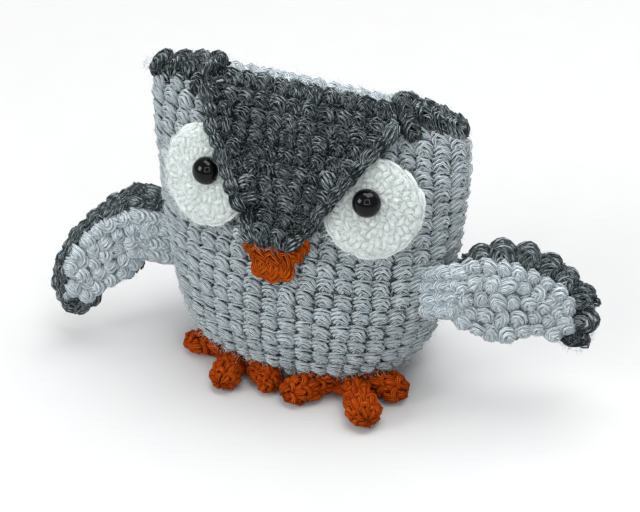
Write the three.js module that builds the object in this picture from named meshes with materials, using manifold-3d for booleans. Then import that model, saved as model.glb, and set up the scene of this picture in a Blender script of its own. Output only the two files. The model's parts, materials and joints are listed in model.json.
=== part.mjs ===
// Crocheted plush owl, in millimetres. +Z is up, the owl looks along -Y and its own left is +X.
// The origin is the middle of the flat base that it stands on.
// Soft pieces are plain swelling solids, with the rows of stitches as grooves round the body. The stitches
// themselves are left to the finished surface.
import * as THREE from "three";
import { mergeVertices } from "three/addons/utils/BufferGeometryUtils.js";
import Module from "manifold-3d";

const wasm = await Module();
wasm.setup();

// Clearances shared by every piece
const clearance = 0.3; // between soft pieces that touch
const wingClearance = 0.5; // between a wing's root and the body's side
const overrun = 30; // how far a cutting block reaches past what it cuts
const probeStep = 0.5; // spacing of the points that give a surface its slope
const weldTolerance = 1e-4; // corners closer than this are one corner
const rimLimitShare = 0.999; // nearest that a point on the body's front comes to the body's side
const profileSampleCount = 400;
const roundSides = 28; // sides of a turned piece

// Body: a stuffed tube with a rounded flat base, closed flat along the top
const bodyHeight = 101;
const bodyHalfWidth = 53.4;
const bodyHalfDepth = 31;
const bodySetBack = 1; // the body's mid-plane lies this far in front of the origin
const bodyRoundness = 2.25; // power of the oval section: 2 is an ellipse
const earDrop = 7.4; // how far the closed top falls from its middle to its two corners
const earTilt = 2; // the left corner is lower, and the right one higher, by this
const earDropPower = 4;
const topOnlyPower = 7;
const coverWall = 4; // thickness of the crocheted fabric
const cavityTipHalf = 1.1; // half the width of the hollow under the closed top
// Height, half-width and half-depth from the base to the closed top, as shares of the sizes above
const bodyProfileShares = [
  [0.0, 0.5, 0.6],
  [0.022, 0.61, 0.77],
  [0.055, 0.71, 0.88],
  [0.1, 0.775, 0.955],
  [0.16, 0.825, 0.99],
  [0.26, 0.87, 1.0],
  [0.4, 0.92, 0.935],
  [0.55, 0.96, 0.8],
  [0.7, 0.985, 0.62],
  [0.84, 1.0, 0.42],
  [0.92, 1.0, 0.3],
  [0.965, 0.975, 0.22],
  [0.99, 0.93, 0.13],
  [1.0, 0.87, 0.055],
];
const coverSides = 48;
const capLevels = 20;
const stitchHeight = 5.8; // height of one row of stitches up the cover
const rowGroove = 1.5; // how deep the grooves between the rows are
const hollowSides = 24;
const hollowLevels = 11;

// Eyes: 9 mm domes on a shank, held by a washer inside the cover
const eyeDiameter = 9;
const eyeDomeHeight = 4.4;
const eyeSide = 25.9; // sideways from the middle
const eyeDrop = 29.4; // below the closed top
const eyeHeight = bodyHeight - eyeDrop;
const shankDiameter = 3;
const shankTail = 2.6; // how far the shank goes on past its washer
const washerDiameter = 11;
const washerThickness = 1.6;
const washerSlack = 1.7; // room between the washer and the inside of the cover
const washerFit = 0.3; // room round the shank in its washer
const eyeDomeSteps = 6;

// White patches behind the eyes
const patchRadius = 15;
const patchThickness = 3.6;
const patchSide = 27.5;
const patchDrop = 31.5; // below the closed top
const patchHeight = bodyHeight - patchDrop;
const patchRings = 3;
const patchSides = 32;

// Grey face mask: a triangle with a blunt lower tip
const maskThickness = 4;
const maskTopDrop = 1.6; // the middle of its top edge lies this far below the closed top
const maskCornerDrop = 3.4; // and its two upper corners this far
const maskTopHeight = bodyHeight - maskTopDrop;
const maskCornerHeight = bodyHeight - maskCornerDrop;
const maskCornerSide = 32.6;
const maskTipHeight = 52.6;
const maskTipSide = 9.4;
const maskTipAside = -1.2; // the tip was sewn on a little to the owl's right
const maskScallop = 0.9; // depth of the bumps along the top edge
const maskScallopCount = 9;
const maskRamp = 3; // width of the slope where the mask climbs onto a patch or the beak
const maskRings = 7;
const maskSides = 64;
const maskSlantSteps = 5; // outline points along each slanted side
const maskTipRoundShare = 0.55; // the tip's side corners, as a share of its half-width

// Beak, tucked under the mask's tip
const beakThickness = 4.4;
const beakAside = -2; // sideways from the middle
const beakTuck = 4.4; // how far its top edge lies above the mask's tip
const beakLength = 15;
const beakTopHeight = maskTipHeight + beakTuck;
const beakTipHeight = beakTopHeight - beakLength;
const beakTopSide = 10.5;
const beakTipSide = 4.6;
const beakRings = 3;
const beakSides = 28;
const beakRoundShare = 0.25; // the beak's rounded corners, as a share of its height

// Ear caps over the two top corners
const capThickness = 2.4;
const capInnerSide = 34.5;
const capDepth = 7.6; // how far a cap reaches down from the closed top

// Wings: a light front panel on a larger dark back panel
const wingPanelThickness = 3.6;
const wingSeam = 0.3; // gap between the two panels
const wingLean = 15; // degrees that the wing's face is turned up
const wingRootHeight = 9;
const wingHingeHeight = 41;
const wingBevel = 1.1;
const wingScallopCount = 9;
const wingEdgeSteps = 64;
const wingRootSides = 20;
const wingScallopFrom = 0.42; // stretch of the back panel's edge that has bumps, in turns of its outline
const wingScallopTo = 0.93;
// Outlines in each wing's own plane, outwards and up from its hinge, as shares of its reach
const leftBackShares = [
  [0, -0.1], [0.11, -0.23], [0.25, -0.3], [0.38, -0.33], [0.5, -0.28], [0.62, -0.265], [0.73, -0.31],
  [0.84, -0.365], [0.925, -0.34], [0.955, -0.25], [0.97, -0.12], [0.92, 0.01], [0.82, 0.135], [0.68, 0.245],
  [0.54, 0.305], [0.38, 0.33], [0.24, 0.32], [0.1, 0.24], [0, 0.1],
];
const leftFrontShares = [
  [0, -0.1], [0.11, -0.23], [0.25, -0.3], [0.38, -0.33], [0.5, -0.28], [0.62, -0.265], [0.72, -0.29],
  [0.775, -0.24], [0.8, -0.12], [0.78, 0], [0.7, 0.09], [0.58, 0.17], [0.43, 0.225], [0.27, 0.27],
  [0.13, 0.25], [0.03, 0.17], [0, 0.09],
];
const rightBackShares = [
  [0, -0.14], [0.1, -0.4], [0.2, -0.56], [0.36, -0.66], [0.5, -0.72], [0.6, -0.84], [0.71, -0.95],
  [0.82, -0.99], [0.92, -0.92], [0.975, -0.76], [0.985, -0.56], [0.93, -0.38], [0.81, -0.2], [0.67, -0.04],
  [0.52, 0.09], [0.38, 0.21], [0.24, 0.31], [0.11, 0.34], [0.02, 0.22], [0, 0.14],
];
const rightFrontShares = [
  [0, -0.14], [0.1, -0.4], [0.2, -0.56], [0.36, -0.66], [0.5, -0.72], [0.6, -0.82], [0.7, -0.86],
  [0.79, -0.78], [0.83, -0.62], [0.84, -0.48], [0.79, -0.3], [0.69, -0.14], [0.55, 0], [0.4, 0.1],
  [0.24, 0.18], [0.1, 0.2], [0.02, 0.14],
];
const leftWingReach = 46.5;
const leftWingForward = 12.5; // how far in front of the origin the hinge lies
const leftWingBump = 1.8; // height of the bumps along the back panel's edge
const leftWingSweep = 16; // degrees back from straight out
const rightWingReach = 32;
const rightWingForward = 10;
const rightWingBump = 0.8;
const rightWingSweep = -18;
const leftWing = {
  side: 1,
  reach: leftWingReach,
  sweep: leftWingSweep,
  forward: leftWingForward,
  bump: leftWingBump,
  back: leftBackShares,
  front: leftFrontShares,
};
const rightWing = {
  side: -1,
  reach: rightWingReach,
  sweep: rightWingSweep,
  forward: rightWingForward,
  bump: rightWingBump,
  back: rightBackShares,
  front: rightFrontShares,
};

// Feet: three stubby toes on a heel under the front of the body
const toeLength = 20; // from the middle of the heel to the middle of a toe's round tip
const toeRadius = 5;
const toeRootRadius = 3.4;
const heelRadius = 10;
const heelThickness = 6.4;
const soleFlat = 0.5; // how deep the toes are cut flat where they stand
const toeSteps = 4;
const toeSides = 12;
const heelInset = 13; // how far the heels lie behind the front of the body
const leftHeelSide = 21;
const rightHeelSide = 17;
// Each toe's length as a share of the length above, and its direction in degrees from straight ahead
const leftToeShares = [[0.925, -35.8], [1.045, 27.3], [0.825, 90]];
const rightToeShares = [[0.95, -91.2], [0.67, -2.1], [0.985, 47.9]];
const leftFoot = { side: leftHeelSide, toes: leftToeShares };
const rightFoot = { side: -rightHeelSide, toes: rightToeShares };

// Yarn and plastic finishes
const palette = {
  lightYarn: { color: 0x9fa9b3, roughness: 0.95 },
  darkYarn: { color: 0x4a5054, roughness: 0.95 },
  whiteYarn: { color: 0xe6ece8, roughness: 0.95 },
  orangeYarn: { color: 0xc75a17, roughness: 0.95 },
  stuffing: { color: 0xf2f2ee, roughness: 1 },
  eyePlastic: { color: 0x0a0a0b, roughness: 0.12 },
  washerPlastic: { color: 0xdadada, roughness: 0.5 },
};

const owl = new THREE.Group();

// A solid that can be cut and joined, from a closed geometry
function solidFrom(geometry) {
  const bare = geometry.clone();
  bare.deleteAttribute("normal");
  bare.deleteAttribute("uv");
  const merged = mergeVertices(bare, weldTolerance);
  const corners = new Float32Array(merged.attributes.position.array);
  const faces = new Uint32Array(merged.index.array);
  return new wasm.Manifold(new wasm.Mesh({ numProp: 3, vertProperties: corners, triVerts: faces }));
}

// Adds a finished solid to the owl as one named mesh
function addPiece(name, solid, finish) {
  const mesh = solid.getMesh();
  const geometry = new THREE.BufferGeometry();
  geometry.setAttribute("position", new THREE.BufferAttribute(new Float32Array(mesh.vertProperties), 3));
  geometry.setIndex(new THREE.BufferAttribute(new Uint32Array(mesh.triVerts), 1));
  geometry.computeVertexNormals();
  const material = new THREE.MeshStandardMaterial({ ...palette[finish], metalness: 0 });
  const piece = new THREE.Mesh(geometry, material);
  piece.name = name;
  owl.add(piece);
}

// A closed geometry from a list of points and a list of triangles
function closedGeometry(points, faces) {
  const geometry = new THREE.BufferGeometry();
  geometry.setAttribute("position", new THREE.Float32BufferAttribute(points.flatMap((p) => [p.x, p.y, p.z]), 3));
  geometry.setIndex(faces);
  return geometry;
}

function block(lowX, highX, lowY, highY, lowZ, highZ) {
  const box = new THREE.BoxGeometry(highX - lowX, highY - lowY, highZ - lowZ);
  box.translate((lowX + highX) / 2, (lowY + highY) / 2, (lowZ + highZ) / 2);
  return box;
}

// The body's profile as one curve: x is the half-width, y the half-depth, z the height
const profileCurve = new THREE.CatmullRomCurve3(
  bodyProfileShares.map(
    ([up, wide, deep]) => new THREE.Vector3(wide * bodyHalfWidth, deep * bodyHalfDepth, up * bodyHeight),
  ),
  false,
  "centripetal",
);
const profileSamples = profileCurve.getSpacedPoints(profileSampleCount);

// Half-width and half-depth of the body at a height, before its corners drop
function sectionAt(height) {
  const next = profileSamples.findIndex((p) => p.z >= height);
  if (next <= 0) {
    return next === 0 ? profileSamples[0] : profileSamples.at(-1);
  }
  const low = profileSamples[next - 1];
  const high = profileSamples[next];
  return low.clone().lerp(high, (height - low.z) / (high.z - low.z));
}

// The closed top falls away to its corners
function dropCorners(p) {
  const outward = Math.min(1, Math.abs(p.x) / bodyHalfWidth);
  const upward = Math.min(1, Math.max(0, p.z / bodyHeight));
  const tilt = earTilt * outward * Math.sign(p.x);
  p.z -= (earDrop * outward ** earDropPower + tilt) * upward ** topOnlyPower;
  return p;
}

// Even rings up the body's profile
function plainRings(levels) {
  return profileCurve.getSpacedPoints(levels);
}

// A ring of the profile grown outwards by a distance, or shrunk where it is negative
function grownRing(ring, grow) {
  const height = ring.z + grow * ((2 * ring.z) / bodyHeight - 1);
  return new THREE.Vector3(ring.x + grow, ring.y + grow, height);
}

// Two rings for each row of stitches: one under it, sunk by the groove's depth, and one along its crest
function rowRings(groove) {
  const run = [0];
  for (let i = 1; i < profileSamples.length; i++) {
    const low = profileSamples[i - 1];
    const high = profileSamples[i];
    run.push(run[i - 1] + Math.hypot(high.z - low.z, high.y - low.y));
  }
  const count = 2 * Math.round(run.at(-1) / stitchHeight);
  return Array.from({ length: count + 1 }, (_, k) => {
    const place = (run.at(-1) * k) / count;
    const next = Math.max(1, run.findIndex((reached) => reached >= place - weldTolerance));
    const share = (place - run[next - 1]) / (run[next] - run[next - 1]);
    const ring = profileSamples[next - 1].clone().lerp(profileSamples[next], share);
    const inGroove = k % 2 === 0 && k > 0 && k < count;
    return grownRing(ring, inGroove ? -groove : 0);
  });
}

// The body's outer form on a list of rings, grown outwards all round by a distance, or shrunk
function bodyForm(grow, sides, rings, leastHalfDepth) {
  const points = [];
  const faces = [];
  const levels = rings.length - 1;
  for (const ring of rings) {
    const level = grownRing(ring, grow);
    const wide = level.x;
    const deep = Math.max(level.y, leastHalfDepth);
    const height = level.z;
    for (let j = 0; j < sides; j++) {
      const angle = (2 * Math.PI * j) / sides;
      const c = Math.cos(angle);
      const s = Math.sin(angle);
      const x = wide * Math.sign(c) * Math.abs(c) ** (2 / bodyRoundness);
      const y = deep * Math.sign(s) * Math.abs(s) ** (2 / bodyRoundness) - bodySetBack;
      points.push(dropCorners(new THREE.Vector3(x, y, height)));
    }
  }
  for (let k = 0; k < levels; k++) {
    for (let j = 0; j < sides; j++) {
      const a = k * sides + j;
      const b = k * sides + ((j + 1) % sides);
      faces.push(a, b, b + sides, a, b + sides, a + sides);
    }
  }
  const bottom = points.length;
  points.push(new THREE.Vector3(0, -bodySetBack, points[0].z));
  for (let j = 0; j < sides; j++) {
    faces.push(bottom, (j + 1) % sides, j);
  }
  closeTop(faces, levels * sides, sides);
  return solidFrom(closedGeometry(points, faces));
}

// Closes the narrow top ring with strips that run straight from its front to its back
function closeTop(faces, start, sides) {
  for (let j = 0; j < sides / 2; j++) {
    const back = start + j;
    const front = start + ((sides - j) % sides);
    const nextFront = start + sides - j - 1;
    if (j > 0) {
      faces.push(nextFront, front, back);
    }
    if (j < sides / 2 - 1) {
      faces.push(nextFront, back, back + 1);
    }
  }
}

// A point on the body's front at a sideways place and a height, before the corners drop
function onFront(x, z) {
  const section = sectionAt(z);
  const reach = Math.min(rimLimitShare, Math.abs(x) / section.x);
  const y = -bodySetBack - section.y * (1 - reach ** bodyRoundness) ** (1 / bodyRoundness);
  return new THREE.Vector3(x, y, z);
}

// The direction straight out of the body's front
function frontNormal(x, z) {
  const across = onFront(x + probeStep, z).sub(onFront(x - probeStep, z));
  const up = onFront(x, z + probeStep).sub(onFront(x, z - probeStep));
  return across.cross(up).normalize();
}

// A soft pad on the body's front. rim gives its outline, counter-clockwise seen from the front,
// and thickness gives how far its face stands off the body at a place
function frontPad(centre, rim, rings, sides, thickness) {
  const rimShare = 0.5; // height of the pad's edge beside its middle
  const edgePower = 5; // how late the pad's face falls to its edge
  const points = [];
  const faces = [];
  const sink = -coverWall / 2;
  const place = (x, z, lift) => dropCorners(onFront(x, z).addScaledVector(frontNormal(x, z), lift));
  const faceLift = (x, z, out) => clearance + thickness(x, z) * (1 - (1 - rimShare) * out ** edgePower);
  const layer = (lift) => {
    points.push(place(centre.x, centre.y, lift(centre.x, centre.y, 0)));
    for (let i = 1; i <= rings; i++) {
      const out = i / rings;
      for (let j = 0; j < sides; j++) {
        const edge = rim(j / sides);
        const x = centre.x + (edge.x - centre.x) * out;
        const z = centre.y + (edge.y - centre.y) * out;
        points.push(place(x, z, lift(x, z, out)));
      }
    }
  };
  layer(faceLift);
  layer(() => sink);
  const size = rings * sides + 1;
  for (let j = 0; j < sides; j++) {
    const next = (j + 1) % sides;
    faces.push(0, 1 + j, 1 + next);
    faces.push(size, size + 1 + next, size + 1 + j);
    for (let i = 0; i < rings - 1; i++) {
      const a = 1 + i * sides + j;
      const b = 1 + i * sides + next;
      faces.push(a, a + sides, b + sides, a, b + sides, b);
      faces.push(size + a, size + b + sides, size + a + sides, size + a, size + b, size + b + sides);
    }
    const edge = 1 + (rings - 1) * sides;
    faces.push(edge + next, edge + j, size + edge + j);
    faces.push(edge + next, size + edge + j, size + edge + next);
  }
  return solidFrom(closedGeometry(points, faces));
}

// The frame of a straight line out of the body's front: its Y axis points outwards
function frontFrame(x, z, lift) {
  const out = frontNormal(x, z);
  const at = onFront(x, z).addScaledVector(out, lift);
  const turn = new THREE.Quaternion().setFromUnitVectors(new THREE.Vector3(0, 1, 0), out);
  return new THREE.Matrix4().compose(at, turn, new THREE.Vector3(1, 1, 1));
}

// A round piece turned about Y from outline points that start and end on its axis
function turned(outline, sides = roundSides) {
  return new THREE.LatheGeometry(outline.map(([r, h]) => new THREE.Vector2(r, h)), sides);
}

// Eye: a domed head and a shank, with its flat back at height 0. grow gives room round it
function eyeForm(frame, grow) {
  const radius = eyeDiameter / 2 + grow;
  const shank = shankDiameter / 2 + grow;
  const depth = patchThickness + coverWall + washerSlack + washerThickness + shankTail + grow;
  const outline = [[0, -depth], [shank, -depth], [shank, -grow], [radius, -grow]];
  for (let i = 0; i < eyeDomeSteps; i++) {
    const angle = (Math.PI / 2) * (i / eyeDomeSteps);
    outline.push([radius * Math.cos(angle), (eyeDomeHeight + grow) * Math.sin(angle)]);
  }
  outline.push([0, eyeDomeHeight + grow]);
  return solidFrom(turned(outline).applyMatrix4(frame));
}

// Washer: a ring on the shank, inside the cover
function washerForm(frame) {
  const inner = shankDiameter / 2 + washerFit;
  const outer = washerDiameter / 2;
  const top = -(patchThickness + coverWall + washerSlack);
  const bottom = top - washerThickness;
  const outline = [[inner, bottom], [outer, bottom], [outer, top], [inner, top], [inner, bottom]];
  return solidFrom(turned(outline).applyMatrix4(frame));
}

// The pocket in the stuffing that a washer lies in, with clearance round it and open towards the cover
function washerRoom(frame) {
  const outer = washerDiameter / 2 + clearance;
  const bottom = -(patchThickness + coverWall + washerSlack + washerThickness + clearance);
  return solidFrom(turned([[0, bottom], [outer, bottom], [outer, 0], [0, 0]]).applyMatrix4(frame));
}

// Soft form of one foot: its toes, each from the heel to its tip, and the heel itself
function footForm(foot) {
  const heel = new THREE.Vector3(foot.side, heelInset - bodySetBack - bodyHalfDepth, 0);
  let form = null;
  for (const [lengthShare, turnDegrees] of foot.toes) {
    const reach = toeLength * lengthShare;
    const outline = [[0, -toeRootRadius]];
    for (let i = 1; i <= toeSteps; i++) {
      const angle = (Math.PI / 2) * (i / toeSteps);
      outline.push([toeRootRadius * Math.sin(angle), -toeRootRadius * Math.cos(angle)]);
    }
    for (let i = 0; i < toeSteps; i++) {
      const angle = (Math.PI / 2) * (i / toeSteps);
      outline.push([toeRadius * Math.cos(angle), reach + toeRadius * Math.sin(angle) - toeRadius / 2]);
    }
    outline.push([0, reach + toeRadius / 2]);
    const turn = THREE.MathUtils.degToRad(turnDegrees);
    const toe = turned(outline, toeSides).rotateZ(Math.PI + turn);
    const part = solidFrom(toe.translate(heel.x, heel.y, toeRadius - soleFlat));
    form = form ? form.add(part) : part;
  }
  const pad = new THREE.SphereGeometry(heelRadius, toeSides, toeSteps * 2);
  pad.scale(1, 1, heelThickness / (2 * heelRadius));
  pad.translate(heel.x, heel.y, heelThickness / 2 - soleFlat);
  return form.add(solidFrom(pad));
}

// A closed smooth outline through points given as shares of a length
function smoothOutline(shares, length, steps) {
  const corners = shares.map(([along, across]) => new THREE.Vector3(along * length, across * length, 0));
  const curve = new THREE.CatmullRomCurve3(corners, true, "centripetal");
  return Array.from({ length: steps }, (_, i) => curve.getPoint(i / steps));
}

// Raises the edge of an outline into even bumps along one stretch of it
function scalloped(outline, from, to, count, height) {
  return outline.map((p, i) => {
    const place = i / outline.length;
    if (place < from || place > to) {
      return p;
    }
    const before = outline[(i + outline.length - 1) % outline.length];
    const after = outline[(i + 1) % outline.length];
    const out = new THREE.Vector3(after.y - before.y, before.x - after.x, 0).normalize();
    const rise = height * Math.abs(Math.sin((Math.PI * count * (place - from)) / (to - from)));
    return p.clone().addScaledVector(out, rise);
  });
}

// The wing's frame: X runs out along the wing, Y up its face and Z out of its front face
function wingFrame(wing) {
  const hinge = hingeOf(wing);
  const sweep = THREE.MathUtils.degToRad(wing.sweep);
  const lean = THREE.MathUtils.degToRad(wingLean);
  const out = new THREE.Vector3(wing.side * Math.cos(sweep), Math.sin(sweep), 0);
  const back = new THREE.Vector3(0, 1, 0).addScaledVector(out, -out.y).normalize();
  const up = new THREE.Vector3(0, 0, Math.cos(lean)).addScaledVector(back, Math.sin(lean));
  const face = back.clone().multiplyScalar(-Math.cos(lean)).add(new THREE.Vector3(0, 0, Math.sin(lean)));
  return new THREE.Matrix4().makeBasis(out, up, face).setPosition(hinge);
}

// A wing's hinge stands a little off the body's side, so that its round root clears the body
function hingeOf(wing) {
  const top = sectionAt(wingHingeHeight + wingRootHeight / 2);
  const rootRadius = wingPanelThickness + wingSeam / 2;
  const off = rootRadius + wingClearance;
  const share = (wing.forward - bodySetBack) / (top.y + off);
  const x = (top.x + off) * (1 - share ** bodyRoundness) ** (1 / bodyRoundness);
  return new THREE.Vector3(wing.side * x, -wing.forward, wingHingeHeight);
}

// One panel of a wing: the front one where face is 1, the back one where it is -1
function wingPanel(wing, outline, face, keepClear) {
  const shape = new THREE.Shape(outline.map((p) => new THREE.Vector2(p.x, p.y)));
  const sheet = new THREE.ExtrudeGeometry(shape, {
    depth: wingPanelThickness - 2 * wingBevel,
    bevelThickness: wingBevel,
    bevelSize: wingBevel,
    bevelOffset: -wingBevel,
    bevelSegments: 2,
    steps: 1,
  });
  sheet.translate(0, 0, wingBevel + wingSeam / 2);
  if (face < 0) {
    sheet.translate(0, 0, -wingPanelThickness - wingSeam);
  }
  const frame = wingFrame(wing);
  const hinge = hingeOf(wing);
  const rootRadius = wingPanelThickness + wingSeam / 2;
  const barrel = new THREE.CylinderGeometry(rootRadius, rootRadius, wingRootHeight, wingRootSides);
  barrel.rotateX(Math.PI / 2).translate(hinge.x, hinge.y, hinge.z);
  const panel = solidFrom(flipIfMirrored(sheet.applyMatrix4(frame), frame));
  const half = block(-overrun, overrun, -overrun, overrun, wingSeam / 2, overrun);
  if (face < 0) {
    half.translate(0, 0, -wingSeam - overrun + wingSeam / 2);
  }
  const side = solidFrom(flipIfMirrored(half.applyMatrix4(frame), frame));
  const root = solidFrom(barrel).intersect(side);
  return panel.add(root).subtract(keepClear);
}

// A mirrored frame turns a mesh inside out, so its triangles are turned round again
function flipIfMirrored(geometry, frame) {
  if (frame.determinant() > 0) {
    return geometry;
  }
  const flat = geometry.index ? geometry.toNonIndexed() : geometry;
  const p = flat.attributes.position;
  for (let i = 0; i < p.count; i += 3) {
    const a = new THREE.Vector3().fromBufferAttribute(p, i + 1);
    const b = new THREE.Vector3().fromBufferAttribute(p, i + 2);
    p.setXYZ(i + 1, b.x, b.y, b.z);
    p.setXYZ(i + 2, a.x, a.y, a.z);
  }
  return flat;
}

// How far a pad has to climb where it crosses another: 1 on it, 0 away from it
function climb(distance) {
  return THREE.MathUtils.smoothstep(-distance, -maskRamp, 0);
}

// Outline of the face mask, counter-clockwise from its tip
function maskRim() {
  const tipRound = maskTipSide * maskTipRoundShare;
  const corners = [
    [0, maskTipHeight],
    [tipRound, maskTipHeight + (maskTipSide - tipRound) / 4],
    [maskTipSide, maskTipHeight + tipRound],
  ];
  const start = corners.at(-1);
  for (let i = 1; i <= maskSlantSteps; i++) {
    const share = i / maskSlantSteps;
    const height = start[1] + (maskCornerHeight - maskThickness - start[1]) * share;
    corners.push([start[0] + (maskCornerSide - start[0]) * share, height]);
  }
  corners.push([maskCornerSide - maskThickness / 4, maskCornerHeight - maskThickness / 4]);
  const topSteps = maskScallopCount * 2;
  for (let i = 1; i < topSteps; i++) {
    const share = 1 - (2 * i) / topSteps;
    const bump = i % 2 ? maskScallop : 0;
    const crown = (maskTopHeight - maskCornerHeight) * (1 - share * share);
    corners.push([(maskCornerSide - maskThickness / 2) * share, maskCornerHeight + crown + bump - maskScallop]);
  }
  const left = corners.slice(1, 3 + maskSlantSteps + 1).map(([x, z]) => [-x, z]);
  left.reverse();
  const aside = (z) => (maskTipAside * (maskTopHeight - z)) / (maskTopHeight - maskTipHeight);
  const all = [...corners, ...left].map(([x, z]) => new THREE.Vector3(x + aside(z), z, 0));
  const curve = new THREE.CatmullRomCurve3(all, true, "centripetal");
  return (t) => curve.getPointAt(t);
}

// Outline of the beak, counter-clockwise from its tip
function beakRim() {
  const round = beakRoundShare;
  const tall = beakTopHeight - beakTipHeight;
  const half = [
    [beakTipSide * (1 - round), beakTipHeight + (tall * round) / 6],
    [beakTipSide, beakTipHeight + tall * round],
    [(beakTipSide + beakTopSide) / 2, beakTipHeight + tall / 2],
    [beakTopSide, beakTopHeight - tall * round],
    [beakTopSide * (1 - round), beakTopHeight],
  ];
  const left = half.map(([x, z]) => [-x, z]).reverse();
  const all = [[0, beakTipHeight], ...half, ...left].map(([x, z]) => new THREE.Vector3(beakAside + x, z, 0));
  const curve = new THREE.CatmullRomCurve3(all, true, "centripetal");
  return (t) => curve.getPointAt(t);
}

// Outline of a patch
function roundRim(side, height, radius) {
  return (t) => new THREE.Vector2(
    side + radius * Math.cos(2 * Math.PI * t),
    height + radius * Math.sin(2 * Math.PI * t),
  );
}

// Body cover and stuffing
const hollowRings = plainRings(hollowLevels);
const bodyOuter = bodyForm(0, coverSides, rowRings(rowGroove), 0);
const bodyClear = bodyForm(clearance, coverSides, rowRings(0), 0);
const hollow = bodyForm(-coverWall, hollowSides, hollowRings, cavityTipHalf);
const filling = bodyForm(-coverWall - clearance, hollowSides, hollowRings, cavityTipHalf - clearance);

let cover = bodyOuter.subtract(hollow);
let stuffing = filling;

// Patches, eyes and washers
const beakCentre = new THREE.Vector2(beakAside, (beakTopHeight + beakTipHeight) / 2);
const eyeSides = [["left", 1], ["right", -1]];
const patchesGrown = [];
for (const [word, side] of eyeSides) {
  const centre = new THREE.Vector2(side * patchSide, patchHeight);
  const frame = frontFrame(side * eyeSide, eyeHeight, patchThickness + 2 * clearance);
  const eye = eyeForm(frame, 0);
  const eyeRoom = eyeForm(frame, clearance);
  const patch = frontPad(centre, roundRim(centre.x, centre.y, patchRadius), patchRings, patchSides, () => patchThickness)
    .subtract(bodyClear)
    .subtract(eyeRoom);
  addPiece(`${word}_eye_patch`, patch, "whiteYarn");
  addPiece(`${word}_eye`, eye, "eyePlastic");
  addPiece(`${word}_eye_washer`, washerForm(frame), "washerPlastic");
  cover = cover.subtract(eyeRoom);
  stuffing = stuffing.subtract(eyeRoom).subtract(washerRoom(frame));
  const grownRim = roundRim(centre.x, centre.y, patchRadius + clearance);
  const grown = frontPad(centre, grownRim, patchRings, patchSides, () => patchThickness + clearance);
  patchesGrown.push(grown.add(eyeRoom));
}
addPiece("body_cover", cover, "lightYarn");
addPiece("body_stuffing", stuffing, "stuffing");

// Ear caps
function earCap(side, grow) {
  const form = bodyForm(capThickness + grow, coverSides, plainRings(capLevels), 0);
  const inner = capInnerSide - grow;
  const lowX = side > 0 ? inner : -bodyHalfWidth - overrun;
  const highX = side > 0 ? bodyHalfWidth + overrun : -inner;
  const lowZ = bodyHeight - capDepth - side * earTilt - grow;
  const reach = block(lowX, highX, -bodyHalfDepth, bodyHalfDepth, lowZ, bodyHeight + overrun);
  return form.intersect(solidFrom(reach));
}

for (const [word, side] of eyeSides) {
  addPiece(`${word}_ear_cap`, earCap(side, 0).subtract(bodyClear), "darkYarn");
}

// Beak and face mask
const beakPad = frontPad(beakCentre, beakRim(), beakRings, beakSides, () => beakThickness);
const beakGrown = frontPad(beakCentre, beakRim(), beakRings, beakSides, () => beakThickness + clearance);
addPiece("beak", beakPad.subtract(bodyClear), "orangeYarn");

function maskLift(x, z) {
  const overPatch = Math.max(
    ...eyeSides.map(([, side]) => climb(Math.hypot(x - side * patchSide, z - patchHeight) - patchRadius)),
  );
  const beakSideDistance = Math.abs(x - beakAside) - beakTopSide;
  const overBeak = climb(Math.max(beakSideDistance, z - beakTopHeight));
  return maskThickness + Math.max(patchThickness * overPatch, beakThickness * overBeak) + clearance;
}

const maskCentre = new THREE.Vector2(0, (maskTopHeight + maskCornerHeight + maskTipHeight) / 3);
let mask = frontPad(maskCentre, maskRim(), maskRings, maskSides, maskLift).subtract(bodyClear);
for (const other of [...patchesGrown, beakGrown, earCap(1, clearance), earCap(-1, clearance)]) {
  mask = mask.subtract(other);
}
addPiece("face_mask", mask, "darkYarn");

// Wings
for (const [word, wing] of [["left", leftWing], ["right", rightWing]]) {
  const back = scalloped(
    smoothOutline(wing.back, wing.reach, wingEdgeSteps),
    wingScallopFrom, wingScallopTo, wingScallopCount, wing.bump,
  );
  const front = smoothOutline(wing.front, wing.reach, wingEdgeSteps / 2);
  addPiece(`${word}_wing_front`, wingPanel(wing, front, 1, bodyClear), "lightYarn");
  addPiece(`${word}_wing_back`, wingPanel(wing, back, -1, bodyClear), "darkYarn");
}

// Feet, cut flat where they stand
const aboveFloor = solidFrom(block(
  -bodyHalfWidth - overrun, bodyHalfWidth + overrun,
  -bodyHalfDepth - overrun, bodyHalfDepth + overrun,
  0, bodyHeight,
));
for (const [word, foot] of [["left", leftFoot], ["right", rightFoot]]) {
  addPiece(`${word}_foot`, footForm(foot).subtract(bodyClear).intersect(aboveFloor), "orangeYarn");
}

export default owl;
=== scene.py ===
"""Looks of a small crocheted owl: every stitch is plied yarn laid on the shapes of the frame.

Lengths are in metres. +Z is up, the owl looks along -Y and its own left is +X.
"""

import json
import logging
import math
from collections.abc import Callable
from dataclasses import dataclass, field
from enum import IntEnum

import bmesh
import bpy
import numpy as np
from mathutils import Matrix, Vector

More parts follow.
